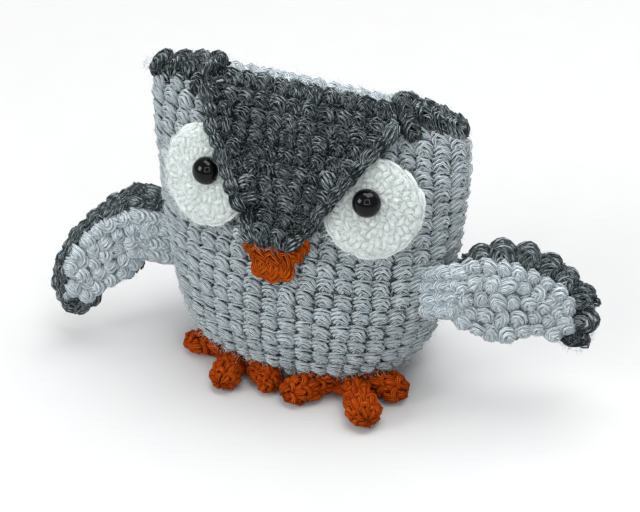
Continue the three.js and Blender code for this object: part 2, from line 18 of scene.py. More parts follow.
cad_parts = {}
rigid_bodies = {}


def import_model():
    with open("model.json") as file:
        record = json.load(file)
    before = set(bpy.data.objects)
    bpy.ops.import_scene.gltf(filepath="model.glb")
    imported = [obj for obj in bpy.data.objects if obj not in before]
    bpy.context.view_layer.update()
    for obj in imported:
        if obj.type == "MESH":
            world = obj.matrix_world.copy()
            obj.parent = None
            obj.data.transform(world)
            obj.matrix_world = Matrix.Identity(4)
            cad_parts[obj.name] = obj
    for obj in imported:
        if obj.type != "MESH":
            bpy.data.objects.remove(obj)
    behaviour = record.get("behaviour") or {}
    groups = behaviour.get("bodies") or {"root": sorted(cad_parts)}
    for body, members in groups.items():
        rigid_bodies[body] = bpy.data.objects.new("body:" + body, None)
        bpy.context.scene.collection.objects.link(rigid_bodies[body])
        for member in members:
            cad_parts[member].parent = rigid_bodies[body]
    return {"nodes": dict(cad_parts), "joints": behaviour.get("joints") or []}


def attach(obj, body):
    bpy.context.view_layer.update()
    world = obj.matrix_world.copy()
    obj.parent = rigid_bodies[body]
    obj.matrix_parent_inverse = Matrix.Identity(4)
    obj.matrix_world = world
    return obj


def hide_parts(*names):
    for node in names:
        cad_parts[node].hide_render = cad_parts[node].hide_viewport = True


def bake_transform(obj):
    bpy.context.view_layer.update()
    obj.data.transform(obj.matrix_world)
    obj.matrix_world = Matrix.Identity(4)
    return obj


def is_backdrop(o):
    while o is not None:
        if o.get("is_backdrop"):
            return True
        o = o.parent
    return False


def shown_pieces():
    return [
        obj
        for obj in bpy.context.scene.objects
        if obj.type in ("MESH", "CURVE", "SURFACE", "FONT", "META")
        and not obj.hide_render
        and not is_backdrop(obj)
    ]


Array = np.ndarray
Object = bpy.types.Object
Socket = bpy.types.NodeSocket
Material = bpy.types.Material

MM = 0.001
SEED = 11
VARIANTS = 3
YARN_UV = "yarn"
TONE = "tone"
UPRIGHT = [0.0, 0.0, 1.0]

log = logging.getLogger("owl")
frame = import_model()


def unit(vectors: Array) -> Array:
    """Vectors of length one along the last axis."""
    length = np.linalg.norm(vectors, axis=-1, keepdims=True)
    return vectors / np.maximum(length, 1e-12)


def smooth_line(points: Array, per_span: int, closed: bool = False) -> Array:
    """A centripetal Catmull-Rom curve through points.

    Args:
        points: corner points, one per row.
        per_span: samples between two corner points.
        closed: whether the curve runs back to its start.

    Returns:
        The samples, without a repeated first point on a closed curve.
    """
    if closed:
        padded = np.vstack([points[-1], points, points[:2]])
    else:
        padded = np.vstack([2 * points[0] - points[1], points, 2 * points[-1] - points[-2]])
    spans = []
    for corners in zip(padded, padded[1:], padded[2:], padded[3:]):
        knots = [0.0]
        for a, b in zip(corners, corners[1:]):
            knots.append(knots[-1] + max(np.linalg.norm(b - a), 1e-9) ** 0.5)
        t = np.linspace(knots[1], knots[2], per_span, endpoint=False)[:, None]
        level = corners
        for pairs in (((0, 1), (1, 2), (2, 3)), ((0, 2), (1, 3)), ((1, 2),)):
            level = [
                (knots[j] - t) / (knots[j] - knots[i]) * a + (t - knots[i]) / (knots[j] - knots[i]) * b
                for (i, j), a, b in zip(pairs, level, level[1:])
            ]
        spans.append(level[0])
    line = np.vstack(spans)
    return line if closed else np.vstack([line, points[-1]])


def steps_of(line: Array) -> Array:
    """Distances from each point of a line to the next."""
    return np.linalg.norm(np.diff(line, axis=0), axis=1)


def length_of(line: Array) -> float:
    """Length of a line of points."""
    return float(steps_of(line).sum())


def run_of(steps: Array) -> Array:
    """How far along its line each point is, from the steps between them."""
    return np.concatenate([[0.0], np.cumsum(steps)])


def spaced(line: Array, count: int, start: float = 0.0, end: float = 1.0) -> Array:
    """Points at equal steps along a line, between two shares of its length."""
    run = run_of(steps_of(line))
    wanted = run[-1] * np.linspace(start, end, count)
    return np.stack([np.interp(wanted, run, line[:, i]) for i in range(line.shape[1])], axis=1)


def on_circle(centre: Array, radius: float, angle: Array) -> Array:
    """Points on a flat circle."""
    return centre + radius * np.stack([np.cos(angle), np.sin(angle)], axis=1)


class Surface:
    """A surface that stitches lie on. Its points come from two coordinates and a lift off it."""

    step: float = 0.4 * MM

    def at(self, u: Array, v: Array, lift: Array) -> Array:
        """Points on the surface. Each kind of surface has its own."""
        raise NotImplementedError

    def frames(self, u: Array, v: Array, lift: float, turn: Array | float = 0.0) -> tuple:
        """Places and directions on the surface.

        Args:
            u: first coordinates.
            v: second coordinates.
            lift: how far off the surface the places are.
            turn: angle from the surface's own up direction, towards its right.

        Returns:
            Places, outward directions and up directions.
        """
        lifts = np.full(u.shape, lift)
        ahead = self.at(u + self.step, v, lifts) - self.at(u - self.step, v, lifts)
        above = self.at(u, v + self.step, lifts) - self.at(u, v - self.step, lifts)
        out = unit(np.cross(ahead, above))
        up = unit(above - out * (above * out).sum(-1, keepdims=True))
        turn = np.broadcast_to(np.asarray(turn, float), u.shape)[..., None]
        return self.at(u, v, lifts), out, unit(up * np.cos(turn) + np.cross(up, out) * np.sin(turn))


@dataclass
class BodyShape(Surface):
    """The stuffed body's outer form: an oval tube with a flat base, closed flat along its top.

    Its coordinates are shares: of a turn, from the middle of the front to the owl's left, and of the
    profile, up from the edge of the base.
    """

    height: float = 101 * MM
    half_width: float = 53.4 * MM
    half_depth: float = 31 * MM
    set_back: float = 1 * MM
    roundness: float = 2.25
    ear_drop: float = 7.4 * MM
    ear_tilt: float = 2 * MM
    drop_power: float = 4
    top_power: float = 7
    flare: float = 7 * MM
    flare_side_power: float = 6
    flare_top_power: float = 10
    step: float = 0.002
    least_depth: float = 0.4 * MM
    edge_share: float = 0.999
    profile_samples: int = 24
    ring_samples: int = 361
    profile_shares: tuple = (
        (0, 0.5, 0.6), (0.022, 0.61, 0.77), (0.055, 0.71, 0.88), (0.1, 0.775, 0.955), (0.16, 0.825, 0.99),
        (0.26, 0.87, 1), (0.4, 0.92, 0.935), (0.55, 0.96, 0.8), (0.7, 0.985, 0.62), (0.84, 1, 0.42),
        (0.92, 1, 0.3), (0.965, 0.975, 0.22), (0.99, 0.93, 0.13), (1, 0.87, 0.055),
    )

    def __post_init__(self) -> None:
        """Works out the profile's samples, and their share of its length up the front."""
        sizes = np.array([self.height, self.half_width, self.half_depth])
        self.profile = smooth_line(np.array(self.profile_shares) * sizes, self.profile_samples)
        self.run = run_of(np.hypot(np.diff(self.profile[:, 0]), np.diff(self.profile[:, 2])))
        self.length = float(self.run[-1])

    def dropped(self, points: Array) -> Array:
        """Points after the closed top has fallen away to its corners."""
        aside = np.minimum(1, np.abs(points[..., 0]) / self.half_width)
        upward = np.clip(points[..., 2] / self.height, 0, 1)
        tilt = self.ear_tilt * aside * np.sign(points[..., 0])
        fallen = points.copy()
        fallen[..., 2] -= (self.ear_drop * aside**self.drop_power + tilt) * upward**self.top_power
        share = aside**self.flare_side_power * upward**self.flare_top_power
        fallen[..., 0] -= (points[..., 0] < 0) * self.flare * share
        return fallen

    def ring(self, wide: Array, deep: Array, u: Array) -> tuple:
        """Points round an oval, evenly spaced by its length.

        Args:
            wide: half-widths.
            deep: half-depths.
            u: shares of a turn from the middle of the front.

        Returns:
            Sideways and forward coordinates about the oval's middle.
        """
        angle = np.linspace(0, 2 * np.pi, self.ring_samples)
        shape_x, shape_y = (np.sign(c) * np.abs(c) ** (2 / self.roundness)
                            for c in (np.sin(angle), -np.cos(angle)))
        x, y = np.empty(u.shape), np.empty(u.shape)
        for i in np.ndindex(u.shape):
            line_x, line_y = wide[i] * shape_x, deep[i] * shape_y
            run = run_of(np.hypot(np.diff(line_x), np.diff(line_y)))
            place = (u[i] % 1.0) * run[-1]
            x[i], y[i] = np.interp(place, run, line_x), np.interp(place, run, line_y)
        return x, y

    def at(self, u: Array, v: Array, lift: Array) -> Array:
        """Points round and up the body, lifted straight off its side."""
        place = np.clip(v, 0, 1) * self.length
        z, wide, deep = (np.interp(place, self.run, self.profile[:, i]) for i in range(3))
        x, y = self.ring(wide + lift, np.maximum(deep + lift, self.least_depth), u)
        height = z + lift * (2 * z / self.height - 1)
        return self.dropped(np.stack([x, y - self.set_back, height], axis=-1))

    def front(self, x: Array, z: Array) -> Array:
        """Points on the body's front at a sideways place and a height, before its corners drop."""
        wide, deep = (np.interp(z, self.profile[:, 0], self.profile[:, i]) for i in (1, 2))
        reach = np.minimum(self.edge_share, np.abs(x) / wide)
        y = -self.set_back - deep * (1 - reach**self.roundness) ** (1 / self.roundness)
        return np.stack([x, y, z], axis=-1)


@dataclass
class FrontSurface(Surface):
    """The body's front as a surface for what is sewn on it: sideways and height, with a lift of its own."""

    body: BodyShape
    rise: Callable | None = None
    probe: float = 0.5 * MM

    def at(self, u: Array, v: Array, lift: Array) -> Array:
        """Points lifted straight out of the body's front."""
        across = self.body.front(u + self.probe, v) - self.body.front(u - self.probe, v)
        up = self.body.front(u, v + self.probe) - self.body.front(u, v - self.probe)
        more = self.rise(u, v) if self.rise else 0.0
        out = unit(np.cross(across, up))
        return self.body.dropped(self.body.front(u, v) + out * (lift + more)[..., None])


@dataclass
class WingPlane(Surface):
    """A wing's own plane: outwards and up from its hinge, gently cupped towards its back."""

    hinge: Array
    side: int
    sweep: float
    reach: float
    lean: float = math.radians(15)
    cup: float = 0.9 * MM
    waves: tuple = (5.1, 4.3)
    wave_start: float = 0.6

    def __post_init__(self) -> None:
        """Works out the plane's three directions."""
        self.out = np.array([self.side * math.cos(self.sweep), math.sin(self.sweep), 0.0])
        back = unit(np.array([0.0, 1.0, 0.0]) - self.out * self.out[1])
        self.up = np.array([0, 0, math.cos(self.lean)]) + back * math.sin(self.lean)
        self.face = -back * math.cos(self.lean) + np.array([0, 0, math.sin(self.lean)])

    def at(self, u: Array, v: Array, lift: Array) -> Array:
        """Points in the plane, lifted towards the wing's front face."""
        u, v, lift = u[..., None], v[..., None], lift[..., None]
        across, up = self.waves
        wave = np.sin(u / self.reach * across + self.wave_start) * np.cos(v / self.reach * up) * self.cup
        return self.hinge + self.out * u + self.up * v + self.face * (lift + wave)


@dataclass
class MirroredSurface(Surface):
    """A wing's plane seen from one face, so that right and up make its outward direction."""

    plane: WingPlane
    face: int = 1

    def at(self, u: Array, v: Array, lift: Array) -> Array:
        """Points of the plane, with the first coordinate running right as this face is seen."""
        return self.plane.at(u * self.plane.side * self.face, v, lift * self.face)


@dataclass
class LimbShape(Surface):
    """A round limb along a straight axis, with shares of a turn and of its length as coordinates."""

    start: Array
    direction: Array
    stations: Array
    radii: Array
    step: float = 0.02
    samples: int = 80
    least_radius: float = 0.05 * MM

    def __post_init__(self) -> None:
        """Works out the profile's even samples and the way out at each."""
        line = np.stack([self.stations, self.radii], axis=1)
        self.length = length_of(line)
        self.around = 2 * np.pi * float(np.max(self.radii))
        self.profile = spaced(line, self.samples)
        ahead = unit(np.gradient(self.profile, axis=0))
        self.way_out = np.stack([-ahead[:, 1], ahead[:, 0]], axis=1)

    def at(self, u: Array, v: Array, lift: Array) -> Array:
        """Points round the limb's axis, lifted straight off its skin."""
        shares = np.linspace(0, 1, self.samples)
        columns = (*self.profile.T, *self.way_out.T)
        along, radius, tip, away = (np.interp(v, shares, column) for column in columns)
        along, radius = along + tip * lift, np.maximum(radius + away * lift, self.least_radius)
        side = unit(np.cross(self.direction, UPRIGHT))
        top = np.cross(side, self.direction)
        angle = -2 * np.pi * u
        ring = side * np.cos(angle)[..., None] + top * np.sin(angle)[..., None]
        return self.start + self.direction * along[..., None] + ring * radius[..., None]


class Stitch(IntEnum):
    """The shapes that yarn is worked into."""

    SINGLE = 0
    CHAIN = 1
    LOOP = 2
    SHELL = 3
    PLUMP = 4
    PUFF = 5


# Each stretch of yarn: its radius, the spans it is drawn with and its corner points, in millimetres.
STITCH_RUNS = {
    Stitch.SINGLE: (
        (0.55, 4, (-2.9, 0, -1.2), (-2.3, 1.7, 0.6), (-0.5, 2.9, 1.2), (1.6, 2.4, 0.9), (2.8, 0.6, -1)),
        (0.62, 5, (-2.9, -1.2, -1.1), (-2.3, 0.6, 1), (-0.6, 2, 1.9), (1.2, 1.6, 1.8), (2.4, -0.3, 0.8),
         (2.9, -1.7, -1.1)),
        (0.66, 6, (-2.4, -2.3, -1.1), (-1.9, -0.5, 1.4), (-0.4, 1, 2.3), (1, 0.5, 2.2), (1.9, -1.2, 1.3),
         (2.3, -2.7, -1.1)),
        (0.66, 5, (-1.6, -2.9, -1), (-1.2, -1.2, 1.6), (-0.1, 0, 2.3), (0.8, -0.9, 2), (1.4, -2.1, 1),
         (1.6, -3.1, -1.2)),
        (0.66, 4, (-0.7, -3.1, -1), (-0.5, -1.9, 1.5), (0.1, -1.1, 1.9), (0.6, -2, 1.3), (0.8, -3.1, -1.2)),
    ),
    Stitch.CHAIN: (
        (0.75, 4, (-3.2, 0.1, -1), (-1.8, 1.8, 0.3), (0.8, 2.3, 0.7), (3.4, 1, -0.6)),
        (0.75, 4, (-3, 0.1, -0.4), (-1.3, 0.8, 1.1), (1, 1.1, 1.3), (3.4, 0.3, -0.2)),
        (0.75, 4, (-3, -0.1, -0.4), (-1.3, -0.8, 1.1), (1, -1.1, 1.3), (3.4, -0.3, -0.2)),
        (0.75, 4, (-3.2, -0.1, -1), (-1.8, -1.8, 0.3), (0.8, -2.3, 0.7), (3.4, -1, -0.6)),
    ),
    Stitch.LOOP: (
        (0.66, 8, (-2.6, -2.9, -1.4), (-2.7, -0.8, 0.2), (-2, 1.3, 0.9), (0, 2.4, 1.1), (2, 1.3, 0.9),
         (2.7, -0.8, 0.2), (2.6, -2.8, -1.4)),
        (0.68, 8, (-1.6, -3, -1), (-1.9, -0.9, 1.2), (-1.1, 0.6, 1.8), (0.1, 1.3, 1.9), (1.1, 0.6, 1.8),
         (1.9, -0.9, 1.1), (1.6, -2.8, -1)),
        (0.7, 6, (-0.7, -3, -0.8), (-1, -1.4, 1.6), (0, 0.1, 2.2), (1, -1.4, 1.6), (0.7, -3, -0.9)),
        (0.66, 4, (0, -3, -0.8), (-0.1, -1.9, 1.7), (0.1, -1, 2), (0.3, -0.4, 0.8)),
    ),
    Stitch.SHELL: (
        (0.65, 12, (-2.4, -2.8, -1.4), (-3, -0.6, -0.5), (-2.3, 1.7, 0), (-0.1, 2.8, 0.2), (2.2, 1.8, 0),
         (3, -0.4, -0.5), (2.5, -2.7, -1.4)),
        (0.65, 11, (-1.9, -2.8, -0.2), (-2.4, -0.6, 1), (-1.7, 1.3, 1.4), (0, 2.1, 1.5), (1.6, 1.4, 1.4),
         (2.4, -0.5, 1), (2, -2.7, -0.2)),
        (0.65, 9, (-1.2, -2.9, 0.7), (-1.5, -0.8, 1.9), (-0.8, 0.7, 2.3), (0.3, 1.1, 2.4), (1.2, 0.4, 2.2),
         (1.5, -0.9, 1.9), (1.2, -2.8, 0.7)),
        (0.65, 6, (-0.4, -3, 1.2), (-0.4, -1.3, 2.5), (0.2, -0.1, 2.7), (0.6, -1.3, 2.4), (0.5, -3, 1.1)),
    ),
    Stitch.PLUMP: (
        (0.95, 7, (-3, -1, -1.2), (-2.2, 1.1, 0.7), (-0.2, 2.2, 1.3), (1.9, 1.3, 0.8), (3, -0.9, -1.2)),
        (0.95, 4, (-2.2, 0, 0.2), (-1.9, -1.2, 1.2), (-1.4, -2.3, 0.6), (-0.9, -3.2, -1.4)),
        (1, 4, (-0.9, 0.9, 1.3), (-0.3, -0.7, 2), (0.1, -1.9, 1.3), (0.3, -3.2, -1.3)),
        (0.95, 4, (0.7, 0.8, 1), (1.4, -0.6, 1.6), (1.6, -1.9, 0.9), (1.5, -3.1, -1.3)),
    ),
    Stitch.PUFF: (
        (1.15, 6, (-3, -0.7, -1), (-2, 1.3, 0.7), (0, 2.2, 1.1), (2, 1.3, 0.7), (3, -0.7, -1)),
        (1.3, 3, (-1.8, 1, 0.8), (-1.4, -0.9, 1.2), (-0.8, -3, -1)),
        (1.3, 3, (1.1, 1.1, 0.9), (0.9, -0.9, 1.3), (0.7, -3, -1)),
    ),
}
CELL = np.array([6.2 * MM, 5.8 * MM])
SKIN_RINGS = 8
FEW_SIDES = 4
SIDES = 6
PLY_WIDTH = 0.66
END_TAPER = 0.8
YARN_SHAKE = 0.14


def grid_faces(rows: int, columns: int, wrap: bool, base: int = 0, flip: bool = False) -> list:
    """Quads of a grid of points, row by row, that may close on itself sideways."""
    faces = []
    for k in range(rows - 1):
        for j in range(columns if wrap else columns - 1):
            nxt = (j + 1) % columns
            face = (k * columns + j, k * columns + nxt, (k + 1) * columns + nxt, (k + 1) * columns + j)
            faces.append(tuple(base + i for i in (reversed(face) if flip else face)))
    return faces


def tube_faces(rows: int, sides: int) -> list:
    """Quads of a grid that closes on itself sideways, and then the face on each end."""
    ends = [tuple(reversed(range(sides))), tuple(range((rows - 1) * sides, rows * sides))]
    return grid_faces(rows, sides, True) + ends


def yarn_tube(corners: Array, radius: float, spans: int, sides: int) -> tuple:
    """A closed tube of yarn, in millimetres.

    Args:
        corners: corner points of its middle line.
        radius: its radius.
        spans: spans along it.
        sides: sides round it.

    Returns:
        Its points, its faces, and for each corner of each face the length along it and the plies round it.
    """
    plies = round(2 * math.pi * radius / PLY_WIDTH)
    line = spaced(smooth_line(corners, 8), spans + 1)
    ahead = unit(np.gradient(line, axis=0))
    side = unit(np.cross(ahead[0], [0.1, 0.0, 1.0]))
    along = run_of(steps_of(line))
    angle = 2 * np.pi * np.arange(sides) / sides
    rings = []
    for k, (place, way) in enumerate(zip(line, ahead)):
        side = unit(side - way * side.dot(way))
        other = np.cross(way, side)
        reach = radius * (END_TAPER if k in (0, spans) else 1.0)
        rings.append(place + reach * (np.outer(np.cos(angle), side) + np.outer(np.sin(angle), other)))
    uvs = []
    for low, high in zip(along, along[1:]):
        for j in range(sides):
            here, there = plies * j / sides, plies * (j + 1) / sides
            uvs += [(low, here), (low, there), (high, there), (high, here)]
    uvs += [(0.0, plies * j / sides) for j in reversed(range(sides))]
    uvs += [(along[-1], plies * j / sides) for j in range(sides)]
    return np.vstack(rings), tube_faces(spans + 1, sides), uvs


def mesh_object(name: str, points: Array, faces: list, smooth: bool = True) -> Object:
    """A new mesh object at the origin, linked to no collection yet."""
    mesh = bpy.data.meshes.new(name)
    mesh.from_pydata([tuple(p) for p in points], [], [tuple(f) for f in faces])
    mesh.polygons.foreach_set("use_smooth", [smooth] * len(mesh.polygons))
    mesh.update()
    return bpy.data.objects.new(name, mesh)


def points_of(piece: Object) -> Array:
    """The places of a mesh's vertices."""
    return np.array([v.co for v in piece.data.vertices])


def joined(name: str, parts: list) -> Object:
    """Several forms, each given by its points and faces, as one object."""
    faces, base = [], 0
    for points, around in parts:
        faces += [tuple(i + base for i in face) for face in around]
        base += len(points)
    return mesh_object(name, np.vstack([points for points, _ in parts]), faces)


def outward(piece: Object) -> Object:
    """Turns a closed mesh's faces outwards."""
    work = bmesh.new()
    work.from_mesh(piece.data)
    bmesh.ops.remove_doubles(work, verts=work.verts, dist=0.01 * MM)
    bmesh.ops.recalc_face_normals(work, faces=work.faces)
    work.to_mesh(piece.data)
    work.free()
    return piece


def shown(piece: Object, material: Material | None = None) -> Object:
    """Links an object to the scene, with its material."""
    bpy.context.scene.collection.objects.link(piece)
    if material is not None:
        piece.data.materials.append(material)
    return piece


def put_away(shapes: bpy.types.Collection) -> None:
    """Removes a collection and the shapes in it."""
    for shape in list(shapes.objects):
        bpy.data.objects.remove(shape)
    bpy.data.collections.remove(shapes)


def carried(pieces: list, body: str, slot: str) -> None:
    """Makes pieces move with a body."""
    for piece in pieces:
        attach(piece, body)


def worked_stitches() -> bpy.types.Collection:
    """Each kind of stitch as a mesh of yarn tubes, in a few slightly different copies."""
    rng = np.random.default_rng(SEED)
    shapes = bpy.data.collections.new("stitches")
    for kind in Stitch:
        sides = FEW_SIDES if kind is Stitch.SINGLE else SIDES
        for copy in range(VARIANTS):
            tubes = [yarn_tube(corners + rng.normal(0, YARN_SHAKE, (len(corners), 3)), radius, spans, sides)
                     for radius, spans, *corners in STITCH_RUNS[kind]]
            stitch = joined(f"stitch_{int(kind)}_{copy}",
                            [(points * MM, faces) for points, faces, _ in tubes])
            layer = stitch.data.uv_layers.new(name=YARN_UV)
            uvs = [corner for _, _, corners in tubes for corner in corners]
            layer.data.foreach_set("uv", np.array(uvs, np.float32).ravel())
            shapes.objects.link(stitch)
    return shapes


class Guides:
    """Where the stitches of one piece go."""

    def __init__(self) -> None:
        """Starts without any."""
        self.rows = []

    def add(self, frames: tuple, width: Array | float, height: Array | float,
            kind: Stitch = Stitch.SINGLE, relief: float = 1.0) -> None:
        """Adds stitches.

        Args:
            frames: places, outward directions and up directions.
            width: the stitches' widths.
            height: their heights.
            kind: what they are worked as.
            relief: how far they stand out, as a share of the usual.
        """
        ways = [np.reshape(some, (-1, 3)) for some in frames]
        count = len(ways[0])
        columns = (np.ravel(width) / CELL[0], np.ravel(height) / CELL[1], relief)
        size = np.stack([np.broadcast_to(column, count) for column in columns], axis=1)
        self.rows.append((*ways, size, np.full(count, int(kind) * VARIANTS)))

    def points_object(self, name: str) -> Object:
        """The guides as loose points with attributes."""
        places, *vectors, kinds = (np.concatenate(column) for column in zip(*self.rows))
        points = mesh_object(name, places, [], smooth=False)
        for attribute, rows in zip(("out", "up", "size"), vectors):
            layer = points.data.attributes.new(attribute, "FLOAT_VECTOR", "POINT")
            layer.data.foreach_set("vector", rows.astype(np.float32).ravel())
        layer = points.data.attributes.new("kind", "INT", "POINT")
        layer.data.foreach_set("value", kinds.astype(np.int32))
        return points


class Nodes:
    """A node tree whose nodes are added in order."""

    tree: bpy.types.NodeTree

    def node(self, kind: str, settings: dict | None = None, **sockets: object) -> bpy.types.Node:
        """Adds a node.

        Args:
            kind: its type.
            settings: its own properties, set first.
            sockets: values or links by socket name, with _ for a space, or in0, in1 by place.

        Returns:
            The node.
        """
        node = self.tree.nodes.new(kind)
        for key, value in (settings or {}).items():
            setattr(node, key, value)
        for key, value in sockets.items():
            place = key.removeprefix("in")
            self.set(node.inputs[int(place) if place.isdigit() else key.replace("_", " ")], value)
        return node

    def made(self, kind: str, settings: dict | None = None, **sockets: object) -> Socket:
        """Adds a node in the same way and gives its first output in use."""
        return next(s for s in self.node(kind, settings, **sockets).outputs if s.enabled)

    def maths(self, operation: str, first: object, second: object = 0.0) -> Socket:
        """Adds a maths node on two numbers."""
        return self.made("ShaderNodeMath", {"operation": operation}, in0=first, in1=second)

    def vector(self, x: object, y: object, z: object) -> Socket:
        """Three numbers as one vector."""
        return self.made("ShaderNodeCombineXYZ", None, in0=x, in1=y, in2=z)

    def set(self, socket: Socket, value: object) -> None:
        """Links or sets one socket."""
        value = value.socket if isinstance(value, Number) else value
        if isinstance(value, Socket):
            self.tree.links.new(value, socket)
        else:
            socket.default_value = value


class GeometryTree(Nodes):
    """A geometry node tree with named inputs, which all draw their chances from one seed."""

    def __init__(self, name: str, **inputs: str) -> None:
        """Makes the tree and its inputs.

        Args:
            name: the tree's name.
            inputs: the last word of the socket types by input name.
        """
        self.tree = bpy.data.node_groups.new(name, "GeometryNodeTree")
        face = self.tree.interface
        face.new_socket("Geometry", in_out="INPUT", socket_type="NodeSocketGeometry")
        self.ids = {}
        for label, kind in {**inputs, "Seed": "Int", "Yarn": "Material"}.items():
            socket = face.new_socket(label, in_out="INPUT", socket_type="NodeSocket" + kind)
            self.ids[label] = socket.identifier
        face.new_socket("Geometry", in_out="OUTPUT", socket_type="NodeSocketGeometry")
        self.start = self.tree.nodes.new("NodeGroupInput")

    def value(self, label: str) -> Socket:
        """One of the tree's inputs."""
        return self.start.outputs[label]

    def random(self, low: object, high: object, kind: str = "FLOAT") -> Socket:
        """Random values for each point or instance."""
        node = self.node("FunctionNodeRandomValue", {"data_type": kind}, Seed=self.value("Seed"))
        for socket, value in zip([s for s in node.inputs if s.enabled], (low, high)):
            self.set(socket, value)
        return next(s for s in node.outputs if s.enabled)

    def either_way(self, amount: Socket, depth: object) -> Socket:
        """Random vectors that reach an amount across and a depth up, each either way."""
        ends = []
        for sign in (-1.0, 1.0):
            across = self.maths("MULTIPLY", amount, sign)
            ends.append(self.vector(across, across, self.maths("MULTIPLY", depth, sign)))
        return self.random(*ends, "FLOAT_VECTOR")

    def attribute(self, name: str, kind: str = "FLOAT_VECTOR") -> Socket:
        """An attribute of the geometry."""
        return self.made("GeometryNodeInputNamedAttribute", {"data_type": kind}, Name=name)

    def placed(self, points: Socket, shapes: str, **sockets: object) -> Socket:
        """Puts one of the shapes in a collection on every point."""
        shape = self.made("GeometryNodeCollectionInfo", None, Collection=self.value(shapes),
                          Separate_Children=True, Reset_Children=True)
        return self.made("GeometryNodeInstanceOnPoints", None, Points=points, Instance=shape,
                         Pick_Instance=True, **sockets)

    def changed(self, kind: str, instances: Socket, **sockets: object) -> Socket:
        """Rotates, scales or moves every instance."""
        return self.made(f"GeometryNode{kind}Instances", None, Instances=instances, **sockets)

    def finish(self, geometry: Socket) -> "GeometryTree":
        """Ends the tree in real geometry with its material."""
        real = self.made("GeometryNodeRealizeInstances", None, Geometry=geometry)
        dressed = self.made("GeometryNodeSetMaterial", None, Geometry=real, Material=self.value("Yarn"))
        self.node("NodeGroupOutput", None, in0=dressed)
        return self

    def apply(self, piece: Object, **values: object) -> Object:
        """Runs the tree on a piece and keeps the result as a plain mesh.

        Args:
            piece: the object that the tree works on.
            values: the tree's inputs by name.

        Returns:
            The same object, with the new mesh.
        """
        modifier = shown(piece).modifiers.new("nodes", "NODES")
        modifier.node_group = self.tree
        for label, value in values.items():
            modifier[self.ids[label]] = value
        bpy.context.view_layer.update()
        graph = bpy.context.evaluated_depsgraph_get()
        made = bpy.data.meshes.new_from_object(
            piece.evaluated_get(graph), preserve_all_data_layers=True, depsgraph=graph
        )
        piece.modifiers.remove(modifier)
        old = piece.data
        piece.data = made
        made.name = piece.name
        bpy.data.meshes.remove(old)
        return piece


def stitch_tree() -> GeometryTree:
    """The tree that works a stitch at every guide point."""
    tree = GeometryTree("work_stitches", Stitches="Collection", Copies="Int", Turn="Float", Swell="Float",
                        Shift="Float")
    turn, swell = tree.value("Turn"), tree.value("Swell")
    last = tree.made("FunctionNodeIntegerMath", {"operation": "SUBTRACT"}, in0=tree.value("Copies"), in1=1)
    which = tree.made("FunctionNodeIntegerMath", {"operation": "ADD"}, in0=tree.attribute("kind", "INT"),
                      in1=tree.random(0, last, "INT"))
    facing = tree.made("FunctionNodeAxesToRotation", {"primary_axis": "Z", "secondary_axis": "Y"},
                       in0=tree.attribute("out"), in1=tree.attribute("up"))
    stitches = tree.placed(tree.value("Geometry"), "Stitches", Instance_Index=which, Rotation=facing,
                           Scale=tree.attribute("size"))
    stitches = tree.changed("Rotate", stitches, Rotation=tree.either_way(turn, turn))
    least, most = (tree.maths(operation, 1.0, swell) for operation in ("SUBTRACT", "ADD"))
    stitches = tree.changed("Scale", stitches, Scale=tree.random(least, most))
    stitches = tree.changed("Translate", stitches, Translation=tree.either_way(tree.value("Shift"), 0.0),
                            Local_Space=True)
    kept = {"data_type": "FLOAT", "domain": "INSTANCE"}
    return tree.finish(tree.made("GeometryNodeStoreNamedAttribute", kept, Geometry=stitches, Name=TONE,
                                 Value=tree.random(0.0, 1.0)))


def fibre_tree() -> GeometryTree:
    """The tree that grows loose fibres on a surface."""
    tree = GeometryTree("grow_fibres", Fibres="Collection", Density="Float", Lean="Float", Thickness="Float",
                        Reach="Float", Lowest="Float")
    reach = tree.value("Reach")
    place = tree.node("ShaderNodeSeparateXYZ", None, in0=tree.made("GeometryNodeInputPosition"))
    above = tree.made("FunctionNodeCompare", {"data_type": "FLOAT", "operation": "GREATER_THAN"},
                      in0=place.outputs["Z"], in1=tree.value("Lowest"))
    points = tree.node("GeometryNodeDistributePointsOnFaces", {"distribute_method": "RANDOM"},
                       Mesh=tree.value("Geometry"), Selection=above, Density=tree.value("Density"),
                       Seed=tree.value("Seed"))
    tall = tree.maths("MULTIPLY", tree.random(0.5, 1.5), reach)
    wide = tree.maths("MULTIPLY", tree.value("Thickness"), reach)
    fibres = tree.placed(points.outputs["Points"], "Fibres", Rotation=points.outputs["Rotation"],
                         Scale=tree.vector(wide, wide, tall))
    return tree.finish(tree.changed("Rotate", fibres, Rotation=tree.either_way(tree.value("Lean"), math.pi)))


def maths_method(operation: str, swapped: bool = False) -> Callable:
    """A method for one of Python's operators, which adds a maths node for it.

    Args:
        operation: what the node works out.
        swapped: whether the other number comes first.

    Returns:
        The method.
    """
    def method(self: "Number", other: object) -> "Number":
        """Works on this number and another."""
        pair = (other, self) if swapped else (self, other)
        return Number(self.shader, self.shader.maths(operation, *pair))

    return method


@dataclass(frozen=True)
class Number:
    """A number that varies over a surface, with Python's operators adding the maths nodes."""

    shader: "Shader"
    socket: Socket

    __add__, __radd__ = maths_method("ADD"), maths_method("ADD", True)
    __sub__, __rsub__ = maths_method("SUBTRACT"), maths_method("SUBTRACT", True)
    __mul__, __rmul__ = maths_method("MULTIPLY"), maths_method("MULTIPLY", True)
    __pow__ = maths_method("POWER")

    def wave(self) -> "Number":
        """How far round a half wave the number is: 0 at whole numbers and 1 half-way between."""
        sine = self.shader.maths("SINE", self * math.pi)
        return Number(self.shader, self.shader.maths("ABSOLUTE", sine))

    def between(self, low: float, high: float) -> "Number":
        """0 up to low and 1 from high, smooth in between."""
        return Number(self.shader, self.shader.made(
            "ShaderNodeMapRange", {"interpolation_type": "SMOOTHSTEP"}, in0=self, in1=low, in2=high
        ))


